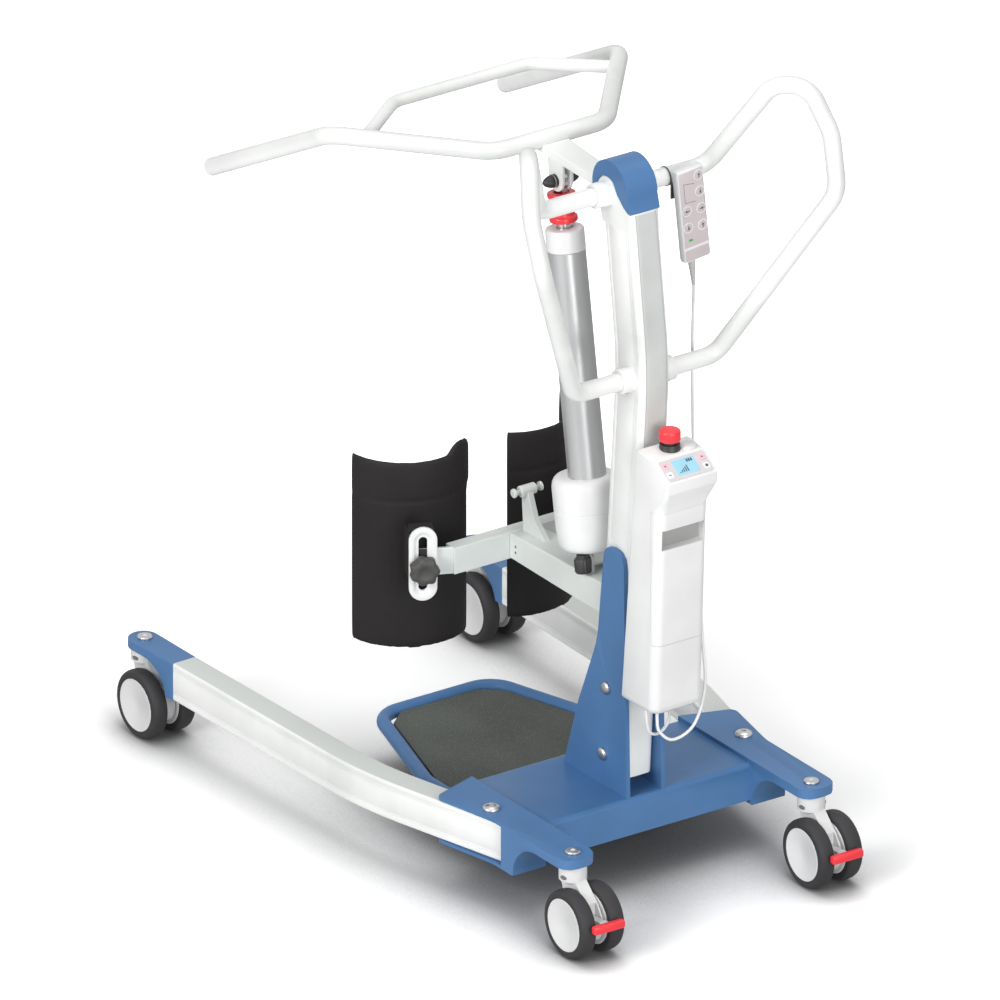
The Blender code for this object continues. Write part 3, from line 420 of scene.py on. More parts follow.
def surface(name, grids, look, body, nodes=(), sharp=30, loop=False):
    """A piece from one grid of points or several, rows by columns. The columns close round on themselves.
    The two end rows are closed by a face each, or joined to each other where the rows make a loop."""
    points, faces, start = [], [], 0
    for grid in grids if isinstance(grids, list) else [grids]:
        rows, columns = grid.shape[:2]
        i = np.arange(rows if loop else rows - 1)[:, None]
        j = np.arange(columns)[None, :]
        i_next, j_next = (i + 1) % rows, (j + 1) % columns
        corners = (i * columns + j, i * columns + j_next, i_next * columns + j_next, i_next * columns + j)
        faces += (np.stack(corners, -1).reshape(-1, 4) + start).tolist()
        if not loop:
            last = start + (rows - 1) * columns
            faces += [list(range(start, start + columns)), list(range(last, last + columns))]
        points.append(grid.reshape(-1, 3))
        start += rows * columns
    mesh = bpy.data.meshes.new(name)
    mesh.from_pydata(np.vstack(points).tolist(), [], faces)
    return finished(name, mesh, look, body, nodes, sharp)


def spun(profile, base, direction, sides=64, lobes=None):
    """A surface turned about a line. The profile holds (radius, height) from one end to the other, and
    lobes may give a change of radius for each turn, one row for each point of the profile."""
    along = np.array(direction, float)
    along /= np.linalg.norm(along)
    helper = np.array((0, 0, 1.0)) if abs(along[2]) < 0.9 else np.array((1.0, 0, 0))
    across = np.cross(helper, along)
    across /= np.linalg.norm(across)
    up = np.cross(along, across)
    turn = np.linspace(0, 2 * math.pi, sides, endpoint=False)
    profile = np.asarray(profile, float)
    radius = np.repeat(profile[:, :1], sides, axis=1)
    if lobes is not None:
        radius = radius + lobes(turn[None, :])
    spokes = np.cos(turn)[None, :, None] * across + np.sin(turn)[None, :, None] * up
    return np.array(base, float) + profile[:, 1, None, None] * along + radius[..., None] * spokes


# ---- The footplate ----
# A bent steel tube in the same blue, welded to the front of the channel, with a ribbed rubber mat on a
# sheet that fills it. The mat is grey-black with light specks and a fine grain that stops feet sliding.
half_ring = [(0.163, 0.1477, 0.081), (0.163, 0.022, 0.081, 0.08), (0.096, -0.195, 0.081, 0.045)]
ring_line = line_through(mirrored(half_ring, 0), 14)
surface("footplate_tube", carried(ring_line, ring(0.010, 32), Z), blue_coat, "frame", ("footplate_ring",))

mat_grain = coat(
    "mat_rubber", "mat_rubber", tint(80, 84, 79), roughness=0.85, grain=0.25, lumps=420, mottle=0.12
)
specks = mat_grain.node("ShaderNodeTexVoronoi", {}, mat_grain.place, None, 300.0)
light = mat_grain.band(specks, 0.30, 0.18) * 0.45
recolour(mat_grain, light, tint(128, 131, 122))
emboss(mat_grain, light * 0.0003)
rounded("mat", "footplate_mat", mat_grain, "frame", 0.0010)

# ---- The bolts ----
# Zinc-plated steel with low domed heads, turned all over: two through the mast and its plates, and one
# down through each bracket that its leg swings on.


def metal(name, slot, colour, roughness, direction=Z, stretch=60.0):
    """Bright metal with fine tool marks: noise drawn out square to the direction given."""
    look = coat(name, slot, colour, roughness, grain=0.004, lumps=300, mottle=0.02, metallic=1.0)
    scale = tuple(900.0 if part else 900.0 / stretch for part in direction)
    spot = look.node("ShaderNodeVectorMath", {"operation": "MULTIPLY"}, look.place, scale)
    marks = look.node("ShaderNodeTexNoise", {}, spot, None, 1.0, 2.0)
    look.feed(look.shader.inputs["Roughness"], roughness + (marks - 0.5) * 0.16)
    return look


zinc = metal("zinc_plate", "bright_steel", tint(186, 186, 188), 0.34)
for place, ahead, height in (("upper", 0.161, 0.2855), ("lower", 0.169, 0.182)):
    head = mm(0.6, -38.5, 5.2, -38.2, 7.9, -37.2, 9.3, -35.6, 9.5, -32.8, 5, -32.8)
    grid = spun(mirrored(head, 1), (0, REAR - ahead, height), X, 40)
    surface("clamp_bolt_" + place, grid, zinc, "frame", ("mast_bolt_" + place,))
for name, side in SIDES:
    profile = mm(
        10, 65, 10, 72.2, 6, 72.2, 6, 141.3, 12.5, 141.3, 12.5, 143.2, 11.8, 144.6, 9.8, 146.2, 6.6, 147.3,
        3.4, 147.6, 3.2, 146.2, 0.6, 146,
    )
    grid = spun(profile, (side * 0.213, 0.2515, 0), Z, 40)
    surface("hinge_bolt_" + name, grid, zinc, "frame", ("leg_pivot_bolt_" + name,))

# ---- The legs ----
# White-coated aluminium extrusions, bent once, with shallow lengthwise grooves in their sides and
# painted shade on their top faces. A blue welded nose closes each front end and carries the castor.


def grooved(wide, deep, radii, grooves, depth, gap):
    """A rectangle of half-sizes wide and deep, as (u, v) points, with a radius for each of its corners and
    a shallow V groove at each (side, place). Side 1 is u = wide, and 2 is v = deep; -1 and -2 face them."""
    points = []
    for k, side in enumerate((1, 2, -1, -2)):
        turn = k * math.pi / 2
        outward = np.array((math.cos(turn), math.sin(turn))).round(9)
        onward = np.array((-math.sin(turn), math.cos(turn))).round(9)
        level, reach = (wide, deep) if k % 2 == 0 else (deep, wide)
        stops = [(radii[k - 1] - reach, 0.0)]
        for place in sorted(p * onward.sum() for s, p in grooves if s == side):
            stops += [(place - gap, 0.0), (place, depth), (place + gap, 0.0)]
        stops.append((reach - radii[k], 0.0))
        points += [outward * (level - sunk) + onward * along for along, sunk in stops]
        centre = outward * (level - radii[k]) + onward * (reach - radii[k])
        for angle in turn + np.radians((18, 36, 54, 72)):
            points.append(centre + radii[k] * np.array((math.cos(angle), math.sin(angle))))
    return np.array(points)


white_coat = powder("white_powder_coat", "white_paint", (0.80, 0.815, 0.795), 0.36)
leg_top_shaded = powder("leg_top_shaded", "white_paint", (0.80, 0.815, 0.795), 0.40)
# Painted shade: faces that point up are darkened to grey, unevenly along a noise.
facing = leg_top_shaded.node("ShaderNodeSeparateXYZ", {}, leg_top_shaded.node("ShaderNodeNewGeometry", {}, out=3), out=2)
painted_top_shade = leg_top_shaded.band(facing, 0.86, 0.97)
top_shade_noise = leg_top_shaded.node("ShaderNodeTexNoise", {}, leg_top_shaded.place, None, 260.0, 3.0)
recolour(leg_top_shaded, painted_top_shade * (0.75 + top_shade_noise * 0.25), (0.60, 0.63, 0.60))

for name, side in SIDES:
    pivot = np.array((side * 0.213, 0.2515, 0.1065))
    bend = np.array((side * 0.267, 0.032, 0.1065))
    rear = pivot + (pivot - bend) / np.linalg.norm(pivot - bend) * 0.040
    front = bend + np.array((side * 0.436 * math.tan(math.radians(1.6)), -0.436, 0))
    line = line_through([tuple(rear), (*bend, 0.7), tuple(front)], 26)
    marks = [(s, p) for s in (2, -2) for p in (-0.0195, -0.0165, 0.0165, 0.0195)]
    section = grooved(0.0285, 0.020, (0.003,) * 4, marks, 0.0005, 0.0009)
    surface("leg_beam_" + name, carried(line, section, Z), leg_top_shaded, "leg_" + name, ("leg_" + name,), 50)
    rounded("nose_" + name, "leg_nose_" + name, blue_coat, "leg_" + name, 0.0022)

# ---- The castors ----
# Twin-wheel furniture castors: grey rubber tyres on white plastic discs, a white moulded housing that
# turns on its stem, and on the rear pair a red pedal that locks the wheels.
tyre_rubber = coat(
    "tyre_rubber", "wheel_rubber", tint(52, 51, 53), roughness=0.62, grain=0.03, lumps=1100, mottle=0.06
)
tyre_rubber.feed(tyre_rubber.shader.inputs["Specular IOR Level"], 0.30)
castor_white = coat(
    "castor_plastic", "grey_plastic", (0.74, 0.745, 0.74), roughness=0.36, grain=0.02, lumps=900
)
recess_grey = coat("recess_shade", "black_plastic", (0.16, 0.16, 0.16), roughness=0.6, grain=0.02)
signal_red = coat("red_plastic", "red_plastic", tint(238, 52, 62), roughness=0.34, grain=0.015, lumps=900)
pedal_red = coat("pedal_red", "red_plastic", tint(238, 52, 62), roughness=0.34, grain=0.015, lumps=900)
PEDAL_FRONT = 0.5115  # the pedal's arm, which lies ahead of this y, is white
ahead_of_pedal = pedal_red.node("ShaderNodeSeparateXYZ", {}, pedal_red.place, out=1) < PEDAL_FRONT
recolour(pedal_red, ahead_of_pedal, (0.60, 0.605, 0.60))

for place, x, y, arm_top in (
    ("front_left", 0.28183, -0.49896, 0.134), ("front_right", -0.28183, -0.49896, 0.134),
    ("rear_left", 0.201, REAR, 0.141), ("rear_right", -0.201, REAR, 0.141),
):
    hub = (x, y + 0.028, 0.050)
    tyre = mm(
        30, 13.5, 42.5, 11.6, 46.2, 12.2, 48.4, 14.2, 49.6, 18, 50, 23.5, 49.6, 29, 48.4, 32.6, 46.2, 35,
        43, 36, 39.6, 36, 38.8, 35.2, 30, 33,
    )
    cover = mm(38.4, 33.5, 38.4, 34.9, 37.8, 35.5, 36.2, 35.6, 35.3, 35.1, 12, 34.9, 11, 34.4, 0.6, 34.3)
    inner = mm(38.5, 14, 38.5, 12.4, 37, 11.4, 10, 10.8, 0.6, 10.8)
    body = "wheels_" + place
    node = "castor_wheels_" + place
    ways = (X, (-1, 0, 0))
    surface("tyres_" + place, [spun(tyre, hub, way, 72) for way in ways], tyre_rubber, body, (node,))
    discs = [spun(shape, hub, way, 72) for way in ways for shape in (cover, inner)]
    surface("wheel_discs_" + place, discs, castor_white, body)
    rounded("castor_housing_" + place, "castor_fork_" + place, castor_white, "castor_" + place, 0.0016)
    head = mm(11, 0.4, 11, 2.4, 10.2, 3.6, 7.5, 4.2, 3.8, 4.3, 3.6, 3, 0.6, 2.9)
    grid = spun(head, (x, y, arm_top), Z, 36)
    surface("stem_bolt_" + place, grid, zinc, "castor_" + place)
    for way in (1, -1):
        grid = spun(mm(5.2, 19, 5.2, 20.2, 4.4, 20.3, 3.6, 19.8, 0.4, 19.7), (x, y, 0), (way, 0.25, 0), 32)
        grid[..., 2] = (grid[..., 2] * 0.62) + 0.1095
        surface(
            f"stem_recess_{place}_{'outer' if way > 0 else 'inner'}", grid, recess_grey, "castor_" + place,
        )
for name in ("left", "right"):
    rounded("brake_bar_" + name, "brake_pedal_" + name, pedal_red, "brake_" + name, 0.0016)

# ---- The leg drive ----
# A small motor in a grey housing under the channel, and the two steel rods that push the legs apart.
motor_grey = coat("motor_housing", "grey_plastic", (0.30, 0.30, 0.31), roughness=0.5)
rounded("spread_motor", "leg_drive_motor", motor_grey, "frame", 0.0012)
for name, side in SIDES:
    bar = mm(5.2, 36.2, 5.8, 37, 5.8, 184.2, 5.2, 185)
    grid = spun(bar, (0, 0.272, 0.106), (side, 0, 0), 32)
    surface("spread_rod_" + name, grid, zinc, "drive_rod_" + name, ("leg_drive_rod_" + name,))

# ---- The mast ----
# A white-coated aluminium extrusion, bent backwards at two thirds of its height, with grooves in its
# sides and a pale grey inlay in its rear face. Welded bosses hold the push handles, and two lugs the arm.
mast_line = line_through([(0, 0.268, 0.158), (0, 0.313, 0.789, 0.5), (0, 0.2832, 1.012)], 30)
marks = [(s, p) for s in (1, -1) for p in (-0.0290, -0.0235, 0.0165, 0.0215)]
MAST_DEPTH, MAST_CORNER = 0.0345, 0.012
mast_section = grooved(0.025, MAST_DEPTH, (MAST_CORNER, MAST_CORNER, 0.005, 0.005), marks, 0.0006, 0.0010)
surface("mast_beam", carried(mast_line, mast_section, X), white_coat, "frame", ("mast",), 50)

inlay_grey = coat(
    "inlay_strip", "white_paint", (0.60, 0.62, 0.605), roughness=0.30, grain=0.01, lumps=500, mottle=0.05
)
strip_line = mast_line[(mast_line[:, 2] > 0.60) & (mast_line[:, 2] < 1.00)]
strip_line = np.vstack([[0, REAR - 0.1329, 0.600], strip_line, [0, 0.28347, 1.010]])
strip_across = np.linspace(-0.0175, 0.0175, 29)
strip_face = MAST_DEPTH - MAST_CORNER + np.sqrt(
    MAST_CORNER**2 - np.clip(np.abs(strip_across) - 0.013, 0, 1) ** 2
)
strip = np.vstack(
    [
        np.column_stack([strip_across, strip_face + 0.0003]),
        np.column_stack([strip_across, strip_face - 0.0006])[::-1],
    ]
)
surface("mast_inlay", carried(strip_line, strip, X), inlay_grey, "frame")
middle = inlay_grey.node("ShaderNodeSeparateXYZ", {}, inlay_grey.place)
border = inlay_grey.band(abs(middle), 0.0160, 0.0166)
recolour(inlay_grey, border * 0.8, (0.34, 0.35, 0.34))


def arc(u, v, radius, start, end, steps=24):
    """Points of a circle about (u, v), between two angles in degrees."""
    turn = np.radians(np.linspace(start, end, steps + 1))
    return np.column_stack([u + radius * np.cos(turn), v + radius * np.sin(turn)])


def slab(outline, origin, first, second, low, high):
    """A flat plate: an outline of (a, b) points on two directions, and its thickness across them."""
    first, second = np.array(first, float), np.array(second, float)
    normal = np.cross(first, second)
    outline = np.asarray(outline, float)
    flat = np.array(origin, float) + outline[:, :1] * first + outline[:, 1:] * second
    return np.stack([flat + normal * low, flat + normal * high])


lug = np.vstack(
    [
        [[0.248, 0.985]], arc(0.260, 1.031, 0.0235, 200, 55),
        [[0.283, 1.036], [0.298, 1.0225], [0.313, 1.0145], [0.314, 0.985]],
    ]
)
for name, low, high in (("left", 0.0187, 0.0252), ("right", -0.0252, -0.0187)):
    softened(surface("arm_lug_" + name, slab(lug, (0, 0, 0), Y, Z, low, high), white_coat, "frame"), 0.0008)
bosses, screws = [], []
for side in (1, -1):
    for y, z, root, mouth in ((0.260, 1.031, 0.0245, 0.0500), (0.315, 0.770, 0.0200, 0.0450)):
        rim = mm(18, -1.2, 17.7, -0.4, 16.9, 0, 13.9, 0, 13.3, -0.6, 13.3, -11.5, 0.6, -11.5)
        bosses.append(spun([(0.0180, root - mouth)] + rim, (side * mouth, y, z), (side, 0, 0), 56))
        screw = mm(3, 15, 3, 18.3, 2.4, 18.4, 1.8, 17.2, 0.4, 17.1)
        screws.append(spun(screw, (side * (mouth - 0.0105), y, z), (0, 0.45, -1), 20))
surface("handle_bosses", bosses, white_coat, "frame")
surface("set_screws", screws, recess_grey, "frame")
rounded("cap", "mast_cap", blue_coat, "frame", 0.0010)

# ---- The push handles ----
# One bent and coated steel tube on each side, a long open loop for the carer's hands. Both ends are
# fixed in the mast's bosses with set screws.
for name, side in SIDES:
    corners = [
        (0.0385, 0.260, 1.031), (0.141, 0.260, 1.031, 0.030), (0.205, 0.328, 1.1605, 0.045),
        (0.234, 0.3725, 1.1675, 0.036), (0.2515, 0.403, 1.1025, 0.080), (0.247, 0.425, 1.023, 0.050),
        (0.1185, 0.315, 0.770, 0.030), (0.0335, 0.315, 0.770),
    ]
    line = line_through([(side * x, *rest) for x, *rest in corners], 12)
    grid = carried(line, ring(0.013, 40), (side * 0.83, -0.56, 0))
    surface("handle_" + name, grid, white_coat, "frame", ("push_handle_" + name,))

# ---- The lifting arm ----
# A welded arm on the mast's pivot. It carries a wide bent tube, one end at each side of the person, and
# a thinner rail between them to hold on to. The tube's ends are closed by plugs with a small hole.
rounded("arm_bar", "lift_arm", white_coat, "lift_arm", 0.0013)
half_arm = [(0.247, -0.380, 0.890), (0.245, -0.097, 1.043, 0.055), (0.094, 0.087, 1.046, 0.050)]
arm_line = line_through(mirrored(half_arm, 0), 14)
surface("arm_tube", carried(arm_line, ring(0.013, 40), Z), white_coat, "lift_arm", ("patient_arm",))
half_rail = [(0.213, -0.0558, 1.0434), (0.114, -0.128, 1.048, 0.035)]
rail_line = line_through(mirrored(half_rail, 0), 12)
rail_line = np.vstack([[[0.213, -0.0558, 1.0434]], rail_line[1:-1], [[-0.213, -0.0558, 1.0434]]])
surface("rail_tube", carried(rail_line, ring(0.0093, 32), Z), white_coat, "lift_arm", ("hand_rail",))
plugs, plug_holes = [], []
for side in (1, -1):
    way = (side * 0.00622, -0.8797, -0.4756)
    tip = (side * 0.247, -0.380, 0.890)
    plugs.append(spun(mm(12.4, -1, 12.4, 1, 11.6, 2, 4, 2.2, 3.4, 1.2, 0.6, 1.1), tip, way, 36))
    plug_holes.append(spun(mm(3.2, 0.8, 3.2, 1.4, 0.6, 1.4), tip, way, 20))
surface("end_plugs", plugs, castor_white, "lift_arm")
surface("plug_holes", plug_holes, recess_grey, "lift_arm")
satin_black = coat(
    "black_plastic", "black_plastic", tint(44, 43, 43), roughness=0.42, grain=0.03, lumps=900, mottle=0.08
)
PIN = (0, 0.113, 0.991)  # where the actuator's rod is pinned to the arm
caps, washers = [], []
for side in (1, -1):
    cone = mm(
        0.6, 9.8, 8.8, 9.8, 9.5, 10.3, 9.5, 13.4, 9, 13.9, 8.6, 14.6, 9.3, 15.1, 9.2, 17, 8.4, 20.5,
        6.8, 24.5, 4.8, 27.8, 3, 29.2, 1.2, 29.6, 0.6, 29.6,
    )
    caps.append(spun(cone, PIN, (side, 0, 0), 40))
    rim = mm(8, 13.7, 9.3, 13.8, 9.4, 14.8, 8, 14.9)
    washers.append(spun(rim, PIN, (side, 0, 0), 40))
pin_line = spun(mm(3.5, -10.5, 3.5, 10.5), PIN, X, 24)
surface("pin_caps", caps + [pin_line], satin_black, "lift_arm", ("actuator_pin",))
surface("pin_washers", washers, zinc, "lift_arm")

# ---- The lifting actuator ----
# A white moulded motor housing in two halves on a foot pivot, a drawn aluminium tube with a white end
# collar, the bright rod that comes out of it, and the red grip that lets the arm down by hand.
foot = np.array((0, 0.1954, 0.448))
lean = np.array((0, -0.15537, 0.98786))
behind = np.array((0, 0.98786, 0.15537))
housing_white = coat(
    "moulded_white", "white_plastic", (0.80, 0.805, 0.80), roughness=0.34, grain=0.02, lumps=1000
)
shell = mm(
    0.6, 12.5, 32, 12.6, 37.2, 14, 40.5, 16.3, 43, 20, 44.4, 25, 45.3, 34, 46, 48, 46.3, 70.2, 45.8, 70.6,
    45.6, 71.1, 45.8, 71.6, 46.4, 72, 46.5, 102, 46.1, 107.2, 45, 111.6, 43.2, 115.3, 40.7, 117.8,
    37.4, 119.2, 33.5, 119.9, 31, 120, 30, 119.4, 0.6, 119.2,
)
grids = [spun(shell, foot - 0.008 * behind, lean, 72)]
eye = mm(9, 30, -9, 30) + arc(0, 0, 0.012, 180, 360).tolist()
grids.append(slab(eye, foot, behind, lean, -0.009, 0.009))
surface("actuator_housing", grids, housing_white, "actuator", ("actuator_motor",))
gland = mm(
    0.6, -14, 8.5, -14, 10.5, -13.4, 11.7, -11.8, 12, -9.5, 12, 5, 11, 7, 9.2, 8.1, 8, 9.2, 7.8, 12.6,
    0.6, 12.6,
)
ridge = np.interp([r for r, h in gland], (0.0085, 0.0117), (0, 0.0004))[:, None]
gland_foot = foot + 0.011 * behind + (0.028, 0, 0)
grid = spun(gland, gland_foot, lean, 80, lambda turn: -ridge * (1 + np.cos(16 * turn)))
surface("actuator_gland", grid, satin_black, "actuator", ("actuator_knob",))

tube_metal = metal("drawn_aluminium", "bright_aluminium", (0.56, 0.565, 0.57), 0.36, X)
tube_metal.feed(tube_metal.shader.inputs["Metallic"], 0.75)
tube = mm(25, 118.8, 27, 119.3, 27, 446.2, 26.2, 447, 12, 447, 11.8, 446.6, 11.8, 118.8)
surface(
    "actuator_outer_tube", spun(tube, foot, lean, 72), tube_metal, "actuator", ("actuator_tube",), loop=True
)
collar = mm(
    11.8, 447.1, 26.8, 447.1, 27.5, 447.8, 27.5, 474.2, 27.2, 476.5, 26.2, 478.3, 24, 479.2, 15, 479.4,
    12.1, 479.2, 11.8, 478.8,
)
surface("actuator_collar", spun(collar, foot, lean, 72), housing_white, "actuator", loop=True)

rod_steel = metal("ground_steel", "bright_steel", tint(205, 206, 208), 0.20, X, 40.0)
rod = mm(0.6, 200, 10.8, 200, 11, 200.4, 11, 524.6, 10.4, 525.2, 0.6, 525.2)
head = foot + 0.5497 * lean
eye = mm(11.2, -4.5, 11.6, -4.9, 15.5, -4.9, 16, -4.4, 16, 4.4, 15.5, 4.9, 11.6, 4.9, 11.2, 4.5)
surface("rod_eye", spun(eye, head, X, 56), rod_steel, "actuator_rod", loop=True)
neck = mm(-10, 500, 10, 500, 10, 537.2, -10, 537.2)
pieces = [spun(rod, foot, lean, 48), slab(neck, foot, behind, lean, -0.0044, 0.0044)]
surface("rod_shaft", pieces, rod_steel, "actuator_rod", ("actuator_rod",))
grip = mm(
    11.3, 487.7, 17, 487.5, 19, 487.9, 19.9, 488.8, 20, 490, 20, 494.5, 19.6, 495.5, 18, 496.3, 16.8, 497.5,
    16.5, 499.5, 16.5, 518.5, 16.8, 520.5, 18, 522.2, 19.6, 523, 20, 524, 20, 528.5, 19.6, 529.6, 18.5, 530.2,
    15, 530.3, 11.6, 530.3, 11.3, 530,
)
surface("release_grip", spun(grip, foot, lean, 64), signal_red, "release_ring", ("release_ring",), loop=True)

# ---- The knee support ----
# White-coated square tube welded to the mast's front, with two fork ears for the actuator's foot, a
# hook post for the sling strap, and a crossbar whose ends are pressed flat and drilled for the knobs.
# The white coat made grey: painted shade on the beam, ears, hook post, hook pin and crossbar.
shaded_coat = powder("beam_coat_painted_shade", "white_paint", (0.64, 0.67, 0.645), 0.40)
beam = [(REAR - a, z) for a, z in ((0.1832, 0.386), (0.408, 0.388), (0.408, 0.426), (0.1798, 0.434))]
grid = slab(beam, (0, 0, 0), Y, Z, -0.025, 0.025)
softened(surface("knee_beam_tube", grid, shaded_coat, "frame", ("knee_beam",)), 0.0022, 4)
ear = mm(15, -23, 12, 0) + arc(0, 0, 0.012, 0, 180).tolist() + mm(-15, -23)
ears = [slab(ear, foot, Y, Z, *sides) for sides in ((0.0095, 0.0135), (-0.0135, -0.0095))]
softened(surface("foot_ears", ears, shaded_coat, "frame"), 0.0006)
bolt = mm(0.6, -17.8, 6.2, -17.8, 7, -17.1, 7, -13.8, 5, -13.8)
surface("foot_bolt", spun(mirrored(bolt, 1), foot, X, 32), zinc, "frame")
post = [
    (REAR - a, z)
    for a, z in ((0.346, 0.424), (0.378, 0.452), (0.393, 0.488), (0.409, 0.488), (0.404, 0.420))
]
grid = slab(post, (0, 0, 0), Y, Z, -0.0045, 0.0045)
softened(surface("hook_post", grid, shaded_coat, "frame"), 0.0008)
hook = mm(
    0.6, 24.5, 5.2, 24.5, 6.4, 23.7, 6.6, 21.7, 6, 19.9, 3.4, 19.3, 3, 18.8, 3, 12.8, 7.2, 12.6, 8, 11.8
)
surface("hook_pin", spun(mirrored(hook, 1), (0, 0.031, 0.488), X, 40), shaded_coat, "frame")
rounded("knee_crossbar_tube", "knee_crossbar", shaded_coat, "frame", 0.0014)
holes = [spun(mm(2.1, -1, 2.1, 0.2, 0.6, 0.2), (0.025, 0.039, z), X, 20) for z in (0.401, 0.410)]
surface("beam_holes", holes, recess_grey, "frame")

# ---- The slotted plates and knobs ----
# White moulded plates with a slot, screwed behind the pads, and black seven-lobed knobs whose bolts
# clamp them to the crossbar's flat ends.
plate_rim = mm(
    19.1, 63.5, 19.8, 64.1, 20, 65.2, 20, 68, 19.6, 69.1, 18.7, 69.5, 13.8, 69.5, 12.8, 69.1, 10.4, 67.2,
    9.3, 66.8, 6.7, 66.7, 6.2, 66.2, 6.2, 63.5,
)


def pad_frame(points, side):
    """Points in the left pad's own frame (chord, normal, height), put in their place on either side."""
    points = np.asarray(points, float)
    x = 0.12905 + points[..., 0] * 0.90631 + points[..., 1] * 0.42262
    y = -0.05578 - points[..., 0] * 0.42262 + points[..., 1] * 0.90631
    return np.stack([x * side, y, points[..., 2] + 0.406], -1)


def slotted(rim, sides=72):
    """Long round-ended loops, one for each (radius, level): half a circle at either end of a straight
    run, which is longer at the slot than at the rim."""
    rim = np.array(rim)
    turn = (np.arange(sides) + 0.5) * 2 * math.pi / sides
    straight = np.interp(rim[:, :1], (0.0062, 0.0200), (0.0343, 0.0355))
    chord = rim[:, :1] * np.cos(turn)
    height = rim[:, :1] * np.sin(turn) + straight * np.sign(np.sin(turn))
    return np.stack([chord, np.broadcast_to(rim[:, 1:], chord.shape), height], -1)


knob = mm(
    0.6, 70, 15, 70, 17.5, 70.6, 19, 71.8, 19.8, 73.8, 19.8, 84.8, 19.2, 86.8, 17.8, 88.4, 15.5, 89.3,
    12, 89.5, 9.5, 89.4, 8.8, 88.8, 0.6, 88.6,
)
swell = np.interp([r for r, h in knob], (0.0120, 0.0198), (0, 0.0016))[:, None]
lobed = spun(knob, (0, 0, -0.005), Y, 140, lambda turn: swell * np.cos(7 * turn))
stud = spun(mm(4, 52, 4, 70.5), (0, 0, -0.005), Y, 32)
knob_black = coat(
    "knob_black", "black_plastic", tint(66, 66, 63), roughness=0.58, grain=0.08, lumps=1200, mottle=0.05
)
for name, side in SIDES:
    grid = pad_frame(slotted(plate_rim), side)
    surface(
        "slotted_plate_" + name, grid, housing_white, "knee_pad_" + name, ("knee_plate_" + name,), loop=True
    )
    surface(
        "clamp_knob_" + name, [pad_frame(lobed, side)], knob_black, "knee_knob_" + name,
        ("knee_knob_" + name,), 40,
    )
    surface("clamp_stud_" + name, [pad_frame(stud, side)], zinc, "knee_knob_" + name)
    # A thin black sheet behind each plate's slot: painted shade seen through the slot.
    slot_shade = slab(mm(-13, -19.5, 11.5, -19.5, 11.5, 21, -13, 21), (0, 0.0631, 0), X, Z, -0.0003, 0.0)
    surface("friction_pad_" + name, pad_frame(slot_shade, side), satin_black, "frame")

# ---- The knee pads ----
# Black moulded foam in a smooth stretched cover, hollow towards the shin. Both are the same moulding, with
# one top corner that stands up as a rounded ear, and a faint crease across the back below it.
PAD_ARC, PAD_HALF_WIDTH = 0.0955, 0.0845  # the radius of a pad's back, and half its chord
pad_cover = coat(
    "pad_cover", "pad_cover", tint(30, 27, 27), roughness=0.66, grain=0.05, lumps=700, mottle=0.10
)
pad_cover.feed(pad_cover.shader.inputs["Specular IOR Level"], 0.28)
wrinkle = pad_cover.node("ShaderNodeTexNoise", {}, pad_cover.place, None, 34.0, 4.0)
emboss(pad_cover, wrinkle * 0.0006)


def pad_grid(across=40, up=56):
    """The unpadded pad in its frame. Each level is a closed loop, out along the back, an arc of 95.5 mm,
    and home along the hollow side. The foam is thickest in the middle and thins as the sixth power of the
    place across and the tenth power of the place up. A lobe lifts one top corner: it rises as a squared
    sine and drops as a quarter of a circle. Below it the edge steps in by a tenth."""
    s = np.concatenate([np.linspace(-1, 1, across), np.linspace(1, -1, across)])[None, :]
    t = np.linspace(-1, 1, up)[:, None]
    hollow = np.repeat([0.0, 1.0], across)[None, :]
    rise = np.clip((-s - 0.52) / 0.20, 0, 1)
    fall = np.clip((-s - 0.80) / 0.20, 0, 1)
    ear = np.sin(rise * math.pi / 2) ** 2 - 1.1 * (1 - np.sqrt(1 - fall**2))
    flap = np.clip((t - 0.53) / 0.06, 0, 1) * np.clip((-s - 0.75) / 0.25, 0, 1)
    height = -0.0185 + 0.1415 * t + 0.0135 * ear * np.clip(t, 0, 1) ** 3
    angle = s * math.asin(PAD_HALF_WIDTH / PAD_ARC) * (1 + 0.10 * flap)
    edge = np.sqrt(1 - np.abs(s) ** 6) * np.sqrt(1 - np.abs(t) ** 10)
    radius = PAD_ARC - np.where(hollow > 0, 0.0060 + 0.0105 * edge, 0.0030 * (1 - edge))
    return np.stack([radius * np.sin(angle), radius * np.cos(angle) - PAD_ARC, height + 0 * angle], -1)


VOXEL = 0.0034  # the size of the pads' remeshed faces


